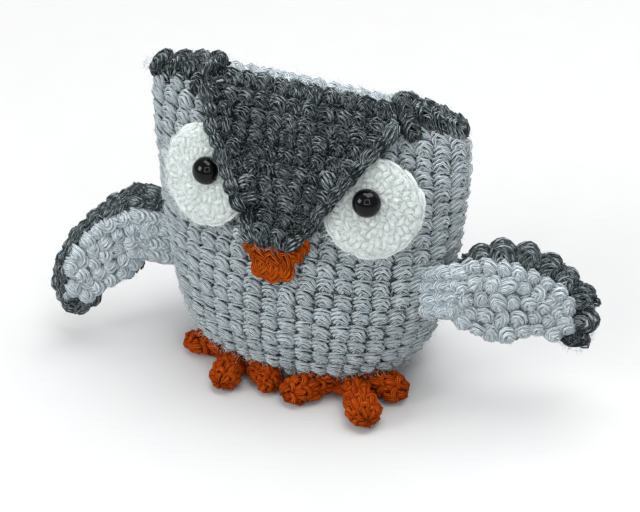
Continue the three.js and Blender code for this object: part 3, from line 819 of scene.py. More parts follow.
class Shader(Nodes):
    """A material whose nodes are added in order."""

    def __init__(self, name: str) -> None:
        """Makes the material with an empty tree and its surface shader."""
        self.material = bpy.data.materials.new(name)
        self.material.use_nodes = True
        self.tree = self.material.node_tree
        self.tree.nodes.clear()
        self.surface = self.node("ShaderNodeBsdfPrincipled")
        self.node("ShaderNodeOutputMaterial", None, Surface=self.surface.outputs[0])
        self.place = self.node("ShaderNodeTexCoord").outputs["Object"]

    def finish(self, **sockets: object) -> Material:
        """Sets the surface shader's sockets by name and gives the material."""
        for key, value in sockets.items():
            self.set(self.surface.inputs[key.replace("_", " ")], value)
        return self.material

    def noise(self, scale: float, detail: float = 2.0, where: Socket | None = None) -> Number:
        """Cloudy noise from 0 to 1, over the object's places unless another vector is given."""
        where = self.place if where is None else where
        return Number(self, self.made("ShaderNodeTexNoise", None, Vector=where, Scale=scale, Detail=detail))

    def mix(self, share: object, first: object, second: object) -> Socket:
        """A blend of two colours."""
        return self.node("ShaderNodeMix", {"data_type": "RGBA"}, in0=share, in6=first, in7=second).outputs[2]

    def bump(self, height: Number, depth: float) -> Socket:
        """A normal bent by a height from 0 to 1 that stands for a depth."""
        return self.made("ShaderNodeBump", None, Strength=1.0, Distance=depth, Height=height)


def rgba(colour: tuple, strength: float = 1.0) -> tuple:
    """A colour with alpha, brightened or darkened."""
    return tuple(min(1.0, c * strength) for c in colour) + (1.0,)


@dataclass(frozen=True)
class YarnFinish:
    """Plied yarn: its colour, the shade painted in its grooves and on the sheet under its stitches, and how
    much it is heathered.
    """

    name: str
    slot: str
    colour: tuple
    pale: tuple
    # Share of the colour painted in the grooves between plies, as shade.
    painted_groove_shade: float = 0.42
    heather: float = 0.0
    twist: float = 0.22
    ply_depth: float = 0.45 * MM
    sheen: float = 0.2
    # Share of the colour on the sheet under the stitches: painted shade deep between them.
    deep: float = 0.3
    gloss: float = 0.05
    soft: float = 0.0
    # A colour painted in the grooves as shade, in place of the darkened colour.
    shade: tuple | None = None
    hair_scale: float = 1500.0
    cloud_scale: float = 120.0
    tangle_scale: float = 700.0
    tangle_depth: float = 0.6 * MM
    glow_depth: float = 1.2 * MM

    def material(self) -> Material:
        """The yarn's material, drawn along each stretch of yarn."""
        shader = Shader(self.name)
        uv = shader.made("ShaderNodeUVMap", {"uv_map": YARN_UV})
        split = shader.node("ShaderNodeSeparateXYZ", None, in0=uv)
        along, turn = Number(shader, split.outputs[0]), Number(shader, split.outputs[1])
        tone = Number(shader, shader.node("ShaderNodeAttribute", {"attribute_name": TONE}).outputs["Fac"])
        phase = turn + along * self.twist
        ply = phase.wave()
        fibres = shader.noise(1.0, 3.0, shader.vector(along * 0.5, phase * 1.9, tone * 60))
        fuzz = shader.noise(self.hair_scale)
        cloud = shader.noise(self.cloud_scale, 1.0)
        # Painted light and shade: the tops of the plies and fibres keep the yarn's colour, and the grooves
        # between them get a darker colour painted as shade.
        lit = ply**0.8 * 0.85 + fibres * 0.8 + fuzz * 0.35 - 0.68
        deep = rgba(self.shade) if self.shade else rgba(self.colour, self.painted_groove_shade)
        colour = shader.mix(lit.between(0.0, 0.75), deep, rgba(self.colour))
        # Pale streaks along the fibres: partly the yarn's heather, partly painted glints on single fibres,
        # with a little more on some stitches at random.
        pale_and_glint_share = fibres.between(0.52, 0.62) * (0.5 + self.heather) + tone * 0.08
        colour = shader.mix(pale_and_glint_share, colour, rgba(self.pale))
        if self.heather:
            dark_share = fibres.between(0.5, 0.38) * self.heather
            colour = shader.mix(dark_share, colour, rgba(self.colour, 0.25))
        colour = shader.mix(cloud.between(0.35, 0.8) * 0.16, colour, rgba(self.colour, 0.62))
        height = ply**0.6 * 0.6 + fibres * 0.6 + fuzz * 0.4
        return shader.finish(
            Base_Color=colour, Roughness=0.92, Sheen_Weight=self.sheen, Sheen_Roughness=0.5,
            Specular_IOR_Level=self.gloss, Subsurface_Weight=self.soft, Subsurface_Radius=(1.0, 1.0, 1.0),
            Subsurface_Scale=self.glow_depth, Normal=shader.bump(height, self.ply_depth),
        )

    def ground(self) -> Material:
        """The yarn's colour darkened as painted shade, for the sheet deep between the stitches, in a pattern
        of tangled strands.
        """
        shader = Shader(self.name + "_ground")
        tangle = shader.noise(self.tangle_scale, 3.0)
        dark, light = (rgba(self.colour, self.deep * share) for share in (1.0, 1.8))
        return shader.finish(Base_Color=shader.mix(tangle.between(0.3, 0.7), dark, light), Roughness=0.95,
                             Specular_IOR_Level=0.1, Normal=shader.bump(tangle, self.tangle_depth))

    def fibre(self) -> Material:
        """Loose fibres of the yarn."""
        shader = Shader(self.name + "_fibre")
        dark, light = rgba(self.colour, 0.8 + 0.3 * self.soft), rgba(self.pale, 1.1)
        colour = shader.mix(shader.noise(400.0, 1.0), dark, light)
        return shader.finish(Base_Color=colour, Roughness=0.8, Specular_IOR_Level=0.2)


# In each yarn, the number after the pale colour and deep are painted shade: the share of its colour in the
# grooves between its plies, and on the sheet under its stitches.
LIGHT_YARN = YarnFinish("light_yarn", "light_yarn", (0.61, 0.705, 0.75), (0.93, 0.98, 1.0), 0.24, deep=0.08,
                        ply_depth=0.6 * MM, sheen=0.12)
PANEL_YARN = YarnFinish("panel_yarn", "light_yarn", (0.56, 0.655, 0.705), (0.93, 0.98, 1.0), 0.3, deep=0.16)
DARK_YARN = YarnFinish("dark_yarn", "dark_yarn", (0.021, 0.029, 0.032), (0.37, 0.425, 0.435), 0.16, 0.42,
                       sheen=0.0)
EDGE_YARN = YarnFinish("edge_yarn", "dark_yarn", (0.046, 0.058, 0.063), (0.42, 0.48, 0.50), 0.28, 0.4,
                       sheen=0.02)
WHITE_YARN = YarnFinish("white_yarn", "white_yarn", (0.80, 0.875, 0.85), (0.88, 0.94, 0.92), 0.93, deep=0.9,
                        ply_depth=0.22 * MM, soft=0.6)
ORANGE_YARN = YarnFinish("orange_yarn", "orange_yarn", (0.50, 0.075, 0.005), (0.80, 0.21, 0.018), sheen=0.0,
                         shade=(0.10, 0.004, 0.001), deep=0.25, ply_depth=0.7 * MM)
# The beak's orange yarn made darker and redder: painted shade on the toes, which sit under the body.
SHADED_TOE_YARN = YarnFinish("toe_yarn", "orange_yarn", (0.42, 0.054, 0.004), (0.66, 0.15, 0.012), sheen=0.0,
                      shade=(0.13, 0.007, 0.001), deep=0.35)


@dataclass(frozen=True)
class PlasticFinish:
    """Moulded plastic, from matt to polished."""

    name: str
    colour: tuple
    roughness: float
    specular: float = 0.2

    def material(self) -> Material:
        """The plastic's material, with faint handling marks."""
        shader = Shader(self.name)
        marks = shader.noise(350.0, 3.0)
        return shader.finish(Base_Color=shader.mix(marks, rgba(self.colour), rgba(self.colour, 1.25)),
                             Roughness=marks.between(0.45, 0.75) * 0.07 + self.roughness,
                             Specular_IOR_Level=self.specular)


@dataclass(frozen=True)
class StuffingFinish:
    """Loose white fibre fill."""

    name: str = "stuffing"
    shade: tuple = (0.72, 0.72, 0.70)
    light: tuple = (0.93, 0.93, 0.91)
    depth: float = 1.2 * MM

    def material(self) -> Material:
        """A cloudy white with a soft bump."""
        shader = Shader(self.name)
        cloud = shader.noise(260.0, 5.0)
        return shader.finish(Base_Color=shader.mix(cloud, rgba(self.shade), rgba(self.light)), Roughness=1.0,
                             Normal=shader.bump(cloud, self.depth))


@dataclass(frozen=True)
class Fluff:
    """How loose fibres grow: how many on a square centimetre, and how thick, leaning and long they are."""

    per_cm2: float
    thickness: float = 1.0
    lean: float = 0.9
    reach: float = 1.0
    lowest: float = 0.0


@dataclass
class Workbox:
    """What every sub-assembly works with: stitches, fibres, node trees and finished materials."""

    seed: int = SEED
    seed_step: int = 7
    fibre_kinds: int = 6
    fibre_radius: float = 0.035 * MM
    fibre_sides: int = 3
    fibre_spans: int = 3

    def __post_init__(self) -> None:
        """Makes the shared tools."""
        self.stitches, self.stitching = worked_stitches(), stitch_tree()
        self.growing = fibre_tree()
        self.fibres = self._fibres()
        self.materials = {}

    def _fibres(self) -> bpy.types.Collection:
        """A few bent fibres, each a thin tube that stands on its root."""
        rng = np.random.default_rng(SEED + 1)
        fibres = bpy.data.collections.new("fibres")
        sides, spans = self.fibre_sides, self.fibre_spans
        share = np.linspace(0, 1, spans + 1)
        for copy in range(self.fibre_kinds):
            reach = rng.uniform(1.0, 2.4) * MM
            bend = rng.uniform(-1.2, 1.2, 2)
            line = np.stack([
                reach * 0.7 * bend[0] * share**2,
                reach * 0.7 * bend[1] * share * (1.2 - share),
                reach * share * (1 - 0.35 * share),
            ], axis=1)
            points = []
            for k, place in enumerate(line):
                thin = self.fibre_radius * (1.15 - 0.9 * k / spans)
                for angle in (2 * math.pi * j / sides for j in range(sides)):
                    points.append(place + thin * np.array([math.cos(angle), math.sin(angle), 0]))
            fibres.objects.link(mesh_object(f"fibre_{copy}", np.array(points), tube_faces(spans + 1, sides)))
        return fibres

    def dressed(self, name: str, make: Callable) -> Material:
        """A material, made the first time that it is asked for."""
        if name not in self.materials:
            self.materials[name] = make()
        return self.materials[name]

    def next_seed(self) -> int:
        """A new seed for each piece, the same in every run."""
        self.seed += self.seed_step
        return self.seed

    def crochet(self, name: str, guides: Guides, finish: YarnFinish, turn: float = 0.1,
                swell: float = 0.05, shift: float = 0.3 * MM) -> Object:
        """Works every stitch of a piece.

        Args:
            name: the piece's name.
            guides: where its stitches go.
            finish: its yarn.
            turn: angle that a stitch may be turned by chance.
            swell: share that it may be larger or smaller by.
            shift: how far it may lie off its place.

        Returns:
            The piece as a plain mesh.
        """
        return self.stitching.apply(
            guides.points_object(name), Stitches=self.stitches, Copies=VARIANTS, Turn=turn, Swell=swell,
            Shift=shift, Seed=self.next_seed(), Yarn=self.dressed(finish.name, finish.material),
        )

    def grow(self, name: str, skin: Object, finish: YarnFinish, fluff: Fluff) -> Object:
        """Grows loose fibres on a skin, which they replace.

        Args:
            name: the piece's name.
            skin: the surface that they grow on.
            finish: their yarn.
            fluff: how they grow.

        Returns:
            The fibres as one mesh.
        """
        skin.name = name
        return self.growing.apply(
            skin, Fibres=self.fibres, Density=fluff.per_cm2 * 1e4, Lean=fluff.lean,
            Thickness=fluff.thickness / fluff.reach, Reach=fluff.reach, Lowest=fluff.lowest,
            Seed=self.next_seed(), Yarn=self.dressed(finish.name + "_fibre", finish.fibre),
        )

    def ground(self, piece: Object, finish: YarnFinish) -> Object:
        """Links a ground mesh and gives it the yarn's finish, darkened as painted shade."""
        return shown(piece, self.dressed(finish.name + "_ground", finish.ground))

    def sewn(self, node: str, body: str, cloth: Object, skin: Object, guides: Guides, finish: YarnFinish,
             fluff: Fluff, held: str, cut: Array | tuple, turn: float, swell: float = 0.05) -> None:
        """Dresses a piece that was worked flat and sewn on: its cloth, stitches and loose fibres.

        Args:
            node: the node that it stands for.
            body: what it moves with.
            cloth: the cloth under its stitches, darkened as painted shade.
            skin: what its fibres grow on.
            guides: where its stitches go.
            finish: its yarn.
            fluff: how its fibres grow.
            held: how the cloth is held. Not used.
            cut: the cloth's flat outline, or its flat size if that is a rectangle. Not used.
            turn: as for the stitches alone.
            swell: the same.
        """
        stem = cloth.name.removesuffix("_cloth")
        self.ground(cloth, finish)
        knit = self.crochet(stem + "_stitches", guides, finish, turn, swell)
        fibres = self.grow(stem + "_fibres", skin, finish, fluff)
        carried([cloth, knit, fibres], body, finish.slot)
        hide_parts(node)

    def put_away(self) -> None:
        """Removes the shared shapes and trees."""
        for shapes in (self.stitches, self.fibres):
            put_away(shapes)
        for tree in (self.stitching, self.growing):
            bpy.data.node_groups.remove(tree.tree)


def slab(name: str, surface: Surface, outline: Array, centre: Array, low: float, high: float,
         rings: int = 6) -> Object:
    """A closed sheet that fills an outline on a surface.

    Args:
        name: the piece's name.
        surface: what it lies on.
        outline: points round it, counter-clockwise, in the surface's coordinates.
        centre: its middle.
        low: lift of its back.
        high: lift of its face.
        rings: rings of faces from its middle to its edge.

    Returns:
        The sheet's object.
    """
    sides = len(outline)
    shares = np.linspace(0, 1, rings + 1)[1:, None, None]
    flat = centre + (outline[None] - centre) * shares
    flat = np.vstack([centre[None], flat.reshape(-1, 2)])
    faces, points = [], []
    for layer, lift in enumerate((high, low)):
        base = layer * len(flat)
        points.append(surface.at(*flat.T, np.full(len(flat), lift)))
        for j in range(sides):
            fan = (base, base + 1 + j, base + 1 + (j + 1) % sides)
            faces.append(fan if layer == 0 else fan[::-1])
        faces += grid_faces(rings, sides, True, base + 1, flip=layer == 0)
    edge = 1 + (rings - 1) * sides
    for j in range(sides):
        nxt = (j + 1) % sides
        faces.append((edge + nxt, edge + j, edge + len(flat) + j, edge + len(flat) + nxt))
    return outward(mesh_object(name, np.vstack(points), faces))


def inside_span(outline: Array, height: float) -> tuple:
    """Where a level line crosses an outline first and last."""
    after = np.roll(outline, -1, axis=0)
    low, high = np.minimum(outline[:, 1], after[:, 1]), np.maximum(outline[:, 1], after[:, 1])
    hit = (low <= height) & (height < high)
    share = (height - outline[hit, 1]) / (after[hit, 1] - outline[hit, 1])
    x = outline[hit, 0] + (after[hit, 0] - outline[hit, 0]) * share
    return float(x.min()), float(x.max())


def scaled(outline: Array, share: float, middle: Array | None = None) -> Array:
    """An outline made larger or smaller, about its own middle unless another is given."""
    middle = outline.mean(0) if middle is None else middle
    return middle + (outline - middle) * share


def inside(outline: Array, places: Array) -> Array:
    """Which places lie inside a closed outline."""
    after = np.roll(outline, -1, axis=0)
    x, z = places[:, :1], places[:, 1:]
    spans = (outline[:, 1] > z) != (after[:, 1] > z)
    rise = np.where(after[:, 1] == outline[:, 1], 1.0, after[:, 1] - outline[:, 1])
    crossing = outline[:, 0] + (z - outline[:, 1]) / rise * (after[:, 0] - outline[:, 0])
    return (spans & (x < crossing)).sum(axis=1) % 2 == 1


def lay_braid(guides: Guides, surface: Surface, line: Array, lift: float, pitch: float, width: float,
              relief: float = 1.0) -> None:
    """Lays a braid of chain links along a line on a surface.

    Args:
        guides: where the links go.
        surface: what they lie on.
        line: the braid's line, in the surface's coordinates.
        lift: how far off the surface its links lie.
        pitch: distance from link to link.
        width: width of the braid.
        relief: how far it stands out, as a share of the usual.
    """
    ends = spaced(line, max(2, round(length_of(line) / pitch)) + 1)
    middle, run = (ends[1:] + ends[:-1]) / 2, ends[1:] - ends[:-1]
    frames = surface.frames(*middle.T, lift, np.arctan2(-run[:, 1], run[:, 0]))
    guides.add(frames, pitch * 1.25, width, Stitch.CHAIN, relief)


@dataclass
class Body:
    """The body cover, its stuffing and the two ear caps, which are worked on the same rows."""

    box: Workbox
    shape: BodyShape = field(default_factory=BodyShape)
    columns: int = 40
    row_height: float = 5.75 * MM
    stitch_lift: float = -2.9 * MM
    stitch_grow: tuple = (1.07, 1.02)
    stitch_chance: tuple = (0.13, 0.06, 0.4 * MM)
    ground_lift: float = -3.0 * MM
    base_rounds: int = 3
    base_relief: float = 0.85
    ridge_pitch: float = 5.2 * MM
    ridge_size: tuple = (5.6 * MM, 3.6 * MM)
    ridge_lifts: tuple = (-3.4 * MM, -0.8 * MM)
    cap_side: float = 29.5 * MM
    cap_rows: int = 1
    cap_lift: float = -0.4 * MM
    cap_grow: float = 1.35
    cap_drop: float = 0.6 * MM
    cap_turn: float = 0.16
    cap_fluff: Fluff = Fluff(130.0, 1.5, 1.3, 0.8)
    scatter: int = 3
    scatter_share: float = 0.9
    corner_reach: float = 1.3 * MM
    corner_power: int = 8
    cloth_rows: float = 2.0
    cloth_reach: float = 0.102
    cloth_tuck: float = 2.6 * MM
    cloth_lifts: tuple = (-0.6 * MM, -2.0 * MM)
    fluff_rows: float = 1.1
    fluff_lifts: tuple = (1.0 * MM, 0.0)
    cover_fill: float = 0.8
    stuffing_fill: float = 0.9
    stuffing_lift: float = -4.6 * MM
    stuffing_lumps: float = 0.8
    fibres: tuple = (
        ("body_cover_fibres", -0.6 * MM, 11 * MM, Fluff(27.0, lowest=3 * MM)),
        ("body_stray_fibres", -0.6 * MM, 26 * MM, Fluff(2.6, 0.8, 1.2, 3.5, 9 * MM)),
        ("body_nap", -1.4 * MM, 0.0, Fluff(36.0, 1.7, 1.35, 1.0, 3 * MM)),
        ("body_fuzz", -1.9 * MM, 0.0, Fluff(36.0, 1.4, 1.1, 0.75, 3 * MM)),
    )

    def __post_init__(self) -> None:
        """Works out the rows."""
        self.rows = round(self.shape.length / self.row_height)

    def _row(self, k: int) -> tuple:
        """Coordinates of a row's stitches, and their width."""
        v = np.full(self.columns, (k + 0.5) / self.rows)
        u = (np.arange(self.columns) + 0.5) / self.columns
        ends = self.shape.at(np.append(u, u[0]), np.append(v, v[0]), np.zeros(self.columns + 1))
        return u, v, float(steps_of(ends).mean())

    def _base(self, guides: Guides) -> None:
        """Adds the rounds of the flat base."""
        _, wide, deep = self.shape.profile[0]
        step = self.row_height
        for k in range(self.base_rounds):
            a, b = wide - step * (k + 0.4), max(deep - step * (k + 0.4), 1.5 * MM)
            count = max(6, round(np.pi * (a + b) / CELL[0]))
            angle = 2 * np.pi * (np.arange(count) + 0.5 * k) / count
            place = np.stack([a * np.cos(angle), b * np.sin(angle) - self.shape.set_back,
                              np.full(count, -self.stitch_lift)], axis=1)
            up = unit(np.stack([np.cos(angle), np.sin(angle), np.zeros(count)], axis=1))
            out = np.tile([0.0, 0.0, -1.0], (count, 1))
            guides.add((place, out, up), CELL[0], step * 1.05, relief=self.base_relief)

    def _rows_of_stitches(self) -> tuple:
        """Guides of the light cover and of the two dark caps."""
        cover, caps = Guides(), {1: Guides(), -1: Guides()}
        height = self.shape.length / self.rows
        first_dark = self.rows - self.cap_rows
        for k in range(self.rows):
            u, v, width = self._row(k)
            frames = self.shape.frames(u, v, self.stitch_lift)
            side = frames[0][:, 0]
            outer = np.abs(side) > self.cap_side
            dark = outer & (k >= first_dark)
            if k == first_dark - 1:
                dark = outer & (np.arange(self.columns) % self.scatter == 0)
                dark &= np.abs(side) < self.scatter_share * self.shape.half_width
            cover.add([a[~dark] for a in frames], width * self.stitch_grow[0], height * self.stitch_grow[1])
            raised = list(self.shape.frames(u, v, self.cap_lift))
            corner = (np.abs(side) / self.shape.half_width).clip(0, 1)[:, None] ** self.corner_power
            raised[0] = raised[0] + raised[1] * corner * self.corner_reach - [0, 0, self.cap_drop]
            for sign, guides in caps.items():
                mine = dark & (np.sign(side) == sign)
                if mine.any():
                    guides.add([a[mine] for a in raised], width, height * self.cap_grow)
        return cover, caps

    def _ridge(self, cover: Guides, caps: dict) -> None:
        """Adds the seam that closes the top, from ear to ear."""
        half = self.shape.profile[-1][1]
        count = round(2 * half / self.ridge_pitch)
        x = np.linspace(-half, half, count)
        top = np.stack([x, np.full(count, -self.shape.set_back), np.full(count, self.shape.height)], axis=1)
        place = self.shape.dropped(top)
        up = np.tile([0.0, 1.0, 0.0], (count, 1))
        out = unit(np.cross(unit(np.gradient(place, axis=0)), up))
        for sign, guides in ((0, cover), *caps.items()):
            mine = x * sign >= self.cap_side if sign else np.abs(x) < self.cap_side
            lift = self.ridge_lifts[abs(sign)]
            guides.add((place[mine] + out[mine] * lift, out[mine], up[mine]), *self.ridge_size)

    def _skin(self, name: str, lift: float, sides: int = 72, levels: int = 44) -> Object:
        """The body's closed form at a lift."""
        v, u = np.meshgrid(np.linspace(0, 1, levels), np.arange(sides) / sides, indexing="ij")
        points = self.shape.at(u, v, np.full(u.shape, lift)).reshape(-1, 3)
        faces = tube_faces(levels, sides)[:-1]
        top = (levels - 1) * sides
        for j in range(sides // 2):
            a, b = top + j, top + (j + 1) % sides
            c, d = top + (sides - j - 1) % sides, top + (sides - j) % sides
            faces.append((a, b, c, d) if j and j < sides // 2 - 1 else ((a, b, c) if not j else (a, b, d)))
        return outward(mesh_object(name, points, faces))

    def _bare_skin(self, lift: float, covered: list, clear: float) -> Object:
        """The body's form at a lift, open where something is sewn on its front and where a wing swings.

        Args:
            lift: how far it lies out from the body's form.
            covered: outlines of what is sewn on the front.
            clear: how far round each wing's hinge it is open.

        Returns:
            The skin, for fibres to grow on.
        """
        skin = self._skin("skin", lift)
        middles = np.array([face.center for face in skin.data.polygons])
        hidden = np.zeros(len(middles), bool)
        for outline in covered:
            hidden |= inside(outline, middles[:, [0, 2]])
        hidden &= middles[:, 1] < -self.shape.set_back
        for joint in frame["joints"]:
            hidden |= np.linalg.norm(middles - joint["pos_m"], axis=1) < clear
        faces = [tuple(face.vertices) for face, away in zip(skin.data.polygons, hidden) if not away]
        return mesh_object("skin", points_of(skin), faces)

    def _cap_sheet(self, name: str, sign: int, cap_rows: float, lifts: tuple) -> Object:
        """A sheet as large as a cap, wrapped round the corner of the top.

        Args:
            name: the sheet's name.
            sign: the side that it is on.
            cap_rows: how many rows it covers.
            lifts: its outer and inner lift from the cap's stitches.

        Returns:
            The sheet.
        """
        rows, columns = 13, 25
        side_share = 0.25 if sign > 0 else 0.75
        u = side_share + np.linspace(-self.cloth_reach, self.cloth_reach, columns)
        across, up = np.meshgrid(u, np.linspace(1 - cap_rows / self.rows, 1.0, rows))
        tuck = np.clip((1 - self.cap_rows / self.rows - up) * self.rows, 0, 1) * self.cloth_tuck
        layers = [self.shape.at(across, up, self.cap_lift + lift - tuck).reshape(-1, 3) for lift in lifts]
        size = rows * columns
        faces = grid_faces(rows, columns, False) + grid_faces(rows, columns, False, size, flip=True)
        grid = np.arange(size).reshape(rows, columns)
        rim = [int(i) for i in (*grid[0], *grid[1:, -1], *grid[-1, -2::-1], *grid[-2:0:-1, 0])]
        for a, b in zip(rim, rim[1:] + rim[:1]):
            faces.append((b, a, a + size, b + size))
        return outward(mesh_object(name, np.vstack(layers), faces))

    def build(self, covered: list) -> None:
        """Makes and dresses the body's pieces.

        Args:
            covered: outlines of what is sewn on the front, where no fibres grow.
        """
        box = self.box
        cover, caps = self._rows_of_stitches()
        self._base(cover)
        self._ridge(cover, caps)
        # The sheet under the stitches, darkened as painted shade between them.
        ground = box.ground(self._skin("body_cover_cloth", self.ground_lift), LIGHT_YARN)
        stitches = box.crochet("body_cover_stitches", cover, LIGHT_YARN, *self.stitch_chance)
        fibres = [box.grow(name, self._bare_skin(lift, covered, clear), LIGHT_YARN, fluff)
                  for name, lift, clear, fluff in self.fibres]
        carried([ground, stitches, *fibres], "body", LIGHT_YARN.slot)
        for piece in (stitches, ground):
            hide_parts("body_cover")
        self._stuffing()
        width = self._row(self.rows - 1)[2]
        cut = (2 * self.cloth_reach * self.columns * width, self.cloth_rows * self.row_height)
        for word, sign in (("left", 1), ("right", -1)):
            cloth = self._cap_sheet(f"{word}_ear_cap_cloth", sign, self.cloth_rows, self.cloth_lifts)
            skin = self._cap_sheet("skin", sign, self.fluff_rows, self.fluff_lifts)
            box.sewn(f"{word}_ear_cap", "body", cloth, skin, caps[sign], DARK_YARN, self.cap_fluff,
                     "stretched", cut, self.cap_turn)

    def _stuffing(self) -> None:
        """The fibre fill inside the cover, a little lumpy."""
        fill = self._skin("body_fill", self.stuffing_lift, 64, 36)
        points = points_of(fill)
        rng = np.random.default_rng(SEED + 3)
        lumps = rng.uniform(-self.stuffing_lumps, 0.0, len(points))[:, None] * MM
        fill.data.vertices.foreach_set("co", (points + unit(points - points.mean(0)) * lumps).ravel())
        finish = StuffingFinish()
        shown(fill, self.box.dressed(finish.name, finish.material))
        carried([fill], "body", finish.name)
        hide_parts("body_stuffing")


@dataclass
class Eye:
    """One eye: its white patch, the domed eye and its place on the body's front."""

    word: str
    sign: int
    patch_radius: float = 15 * MM
    patch_side: float = 27.5 * MM
    patch_height: float = 69.5 * MM
    patch_thickness: float = 3.6 * MM
    rounds: tuple = ((3.6, 7, 4.3), (7.4, 12, 4.4), (11.3, 18, 4.4))
    round_lift: float = 1.9 * MM
    round_relief: float = 0.72
    least_width: float = 4.4 * MM
    slant: float = 0.5
    round_stretch: tuple = (1.12, 1.2)
    rim_radius: float = 13.4 * MM
    rim_lift: float = 1.4 * MM
    rim_link: tuple = (6.4 * MM, 4.8 * MM, 0.8)
    cloth_inset: float = 1.6 * MM
    fluff_inset: float = 0.8 * MM
    cloth_levels: tuple = (0.3 * MM, 2.7 * MM)
    fluff_levels: tuple = (1.0 * MM, 3.6 * MM)
    chance: float = 0.08
    fluff: Fluff = Fluff(430.0, 1.7, 1.45, 0.9)
    eye_side: float = 25.9 * MM
    eye_height: float = 71.6 * MM
    eye_radius: float = 4.5 * MM
    dome: float = 4.4 * MM
    bead: float = 0.35 * MM
    seat: float = 4.2 * MM
    shank_radius: float = 1.5 * MM
    shank_length: float = 11.6 * MM
    sides: int = 48

    @property
    def centre(self) -> Array:
        """The patch's middle."""
        return np.array([self.sign * self.patch_side, self.patch_height])

    def circle(self, radius: float) -> Array:
        """A circle about the patch's middle, counter-clockwise."""
        return on_circle(self.centre, radius, np.linspace(0, 2 * np.pi, 73)[:-1])

    def build(self, box: Workbox, body: BodyShape) -> None:
        """Makes and dresses the patch and the eye."""
        surface = FrontSurface(body)
        guides = Guides()
        for radius, count, tall in self.rounds:
            angle = 2 * np.pi * (np.arange(count) + 0.3 * count) / count
            place = on_circle(self.centre, radius * MM, angle)
            turn = np.pi / 2 - angle + self.slant
            width = max(2 * np.pi * radius * MM / count, self.least_width)
            wider, taller = self.round_stretch
            guides.add(surface.frames(*place.T, self.round_lift, turn), width * wider,
                       tall * MM * taller, Stitch.PUFF, self.round_relief)
        rim = self.circle(self.rim_radius)
        lay_braid(guides, surface, np.vstack([rim, rim[:1]]), self.rim_lift, *self.rim_link)
        outline = self.circle(self.patch_radius - self.cloth_inset)
        cloth = slab(f"{self.word}_patch_cloth", surface, outline, self.centre, *self.cloth_levels)
        skin = slab("skin", surface, self.circle(self.patch_radius - self.fluff_inset), self.centre,
                    *self.fluff_levels, SKIN_RINGS)
        box.sewn(f"{self.word}_eye_patch", "body", cloth, skin, guides, WHITE_YARN, self.fluff, "laid",
                 outline, self.chance)
        self._dome(box, surface)

    def _dome(self, box: Workbox, surface: FrontSurface) -> None:
        """The polished eye with its rounded rim and its shank."""
        x, z = np.array([self.sign * self.eye_side]), np.array([self.eye_height])
        base, out = surface.body.front(x, z)[0], surface.frames(x, z, 0.0)[1][0]
        side = unit(np.cross(out, UPRIGHT))
        up = np.cross(side, out)
        r, bead, shank = self.eye_radius, self.bead, self.shank_radius
        profile = [(shank, -self.shank_length), (shank, 0.0), (r - bead, 0.0), (r, bead)]
        for angle in np.linspace(0.06, np.pi / 2, 14)[:-1]:
            profile.append((r * math.cos(angle), bead + (self.dome - bead) * math.sin(angle)))
        points = []
        for radius, height in profile:
            for angle in (2 * np.pi * j / self.sides for j in range(self.sides)):
                ring = side * math.cos(angle) + up * math.sin(angle)
                points.append(base + out * (self.seat + height) + ring * radius)
        faces = grid_faces(len(profile), self.sides, True)
        tail, tip, last = len(points), len(points) + 1, len(points) - self.sides
        points += [base + out * (self.seat + height) for height in (-self.shank_length, self.dome)]
        for j in range(self.sides):
            nxt = (j + 1) % self.sides
            faces += [(tail, nxt, j), (tip, last + j, last + nxt)]
        finish = PlasticFinish("eye_plastic", (0.002, 0.002, 0.0025), 0.05)
        eye = shown(outward(mesh_object(f"{self.word}_eye_dome", np.array(points), faces)),
                    box.dressed(finish.name, finish.material))
        carried([eye], "body", finish.name)
        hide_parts(f"{self.word}_eye")


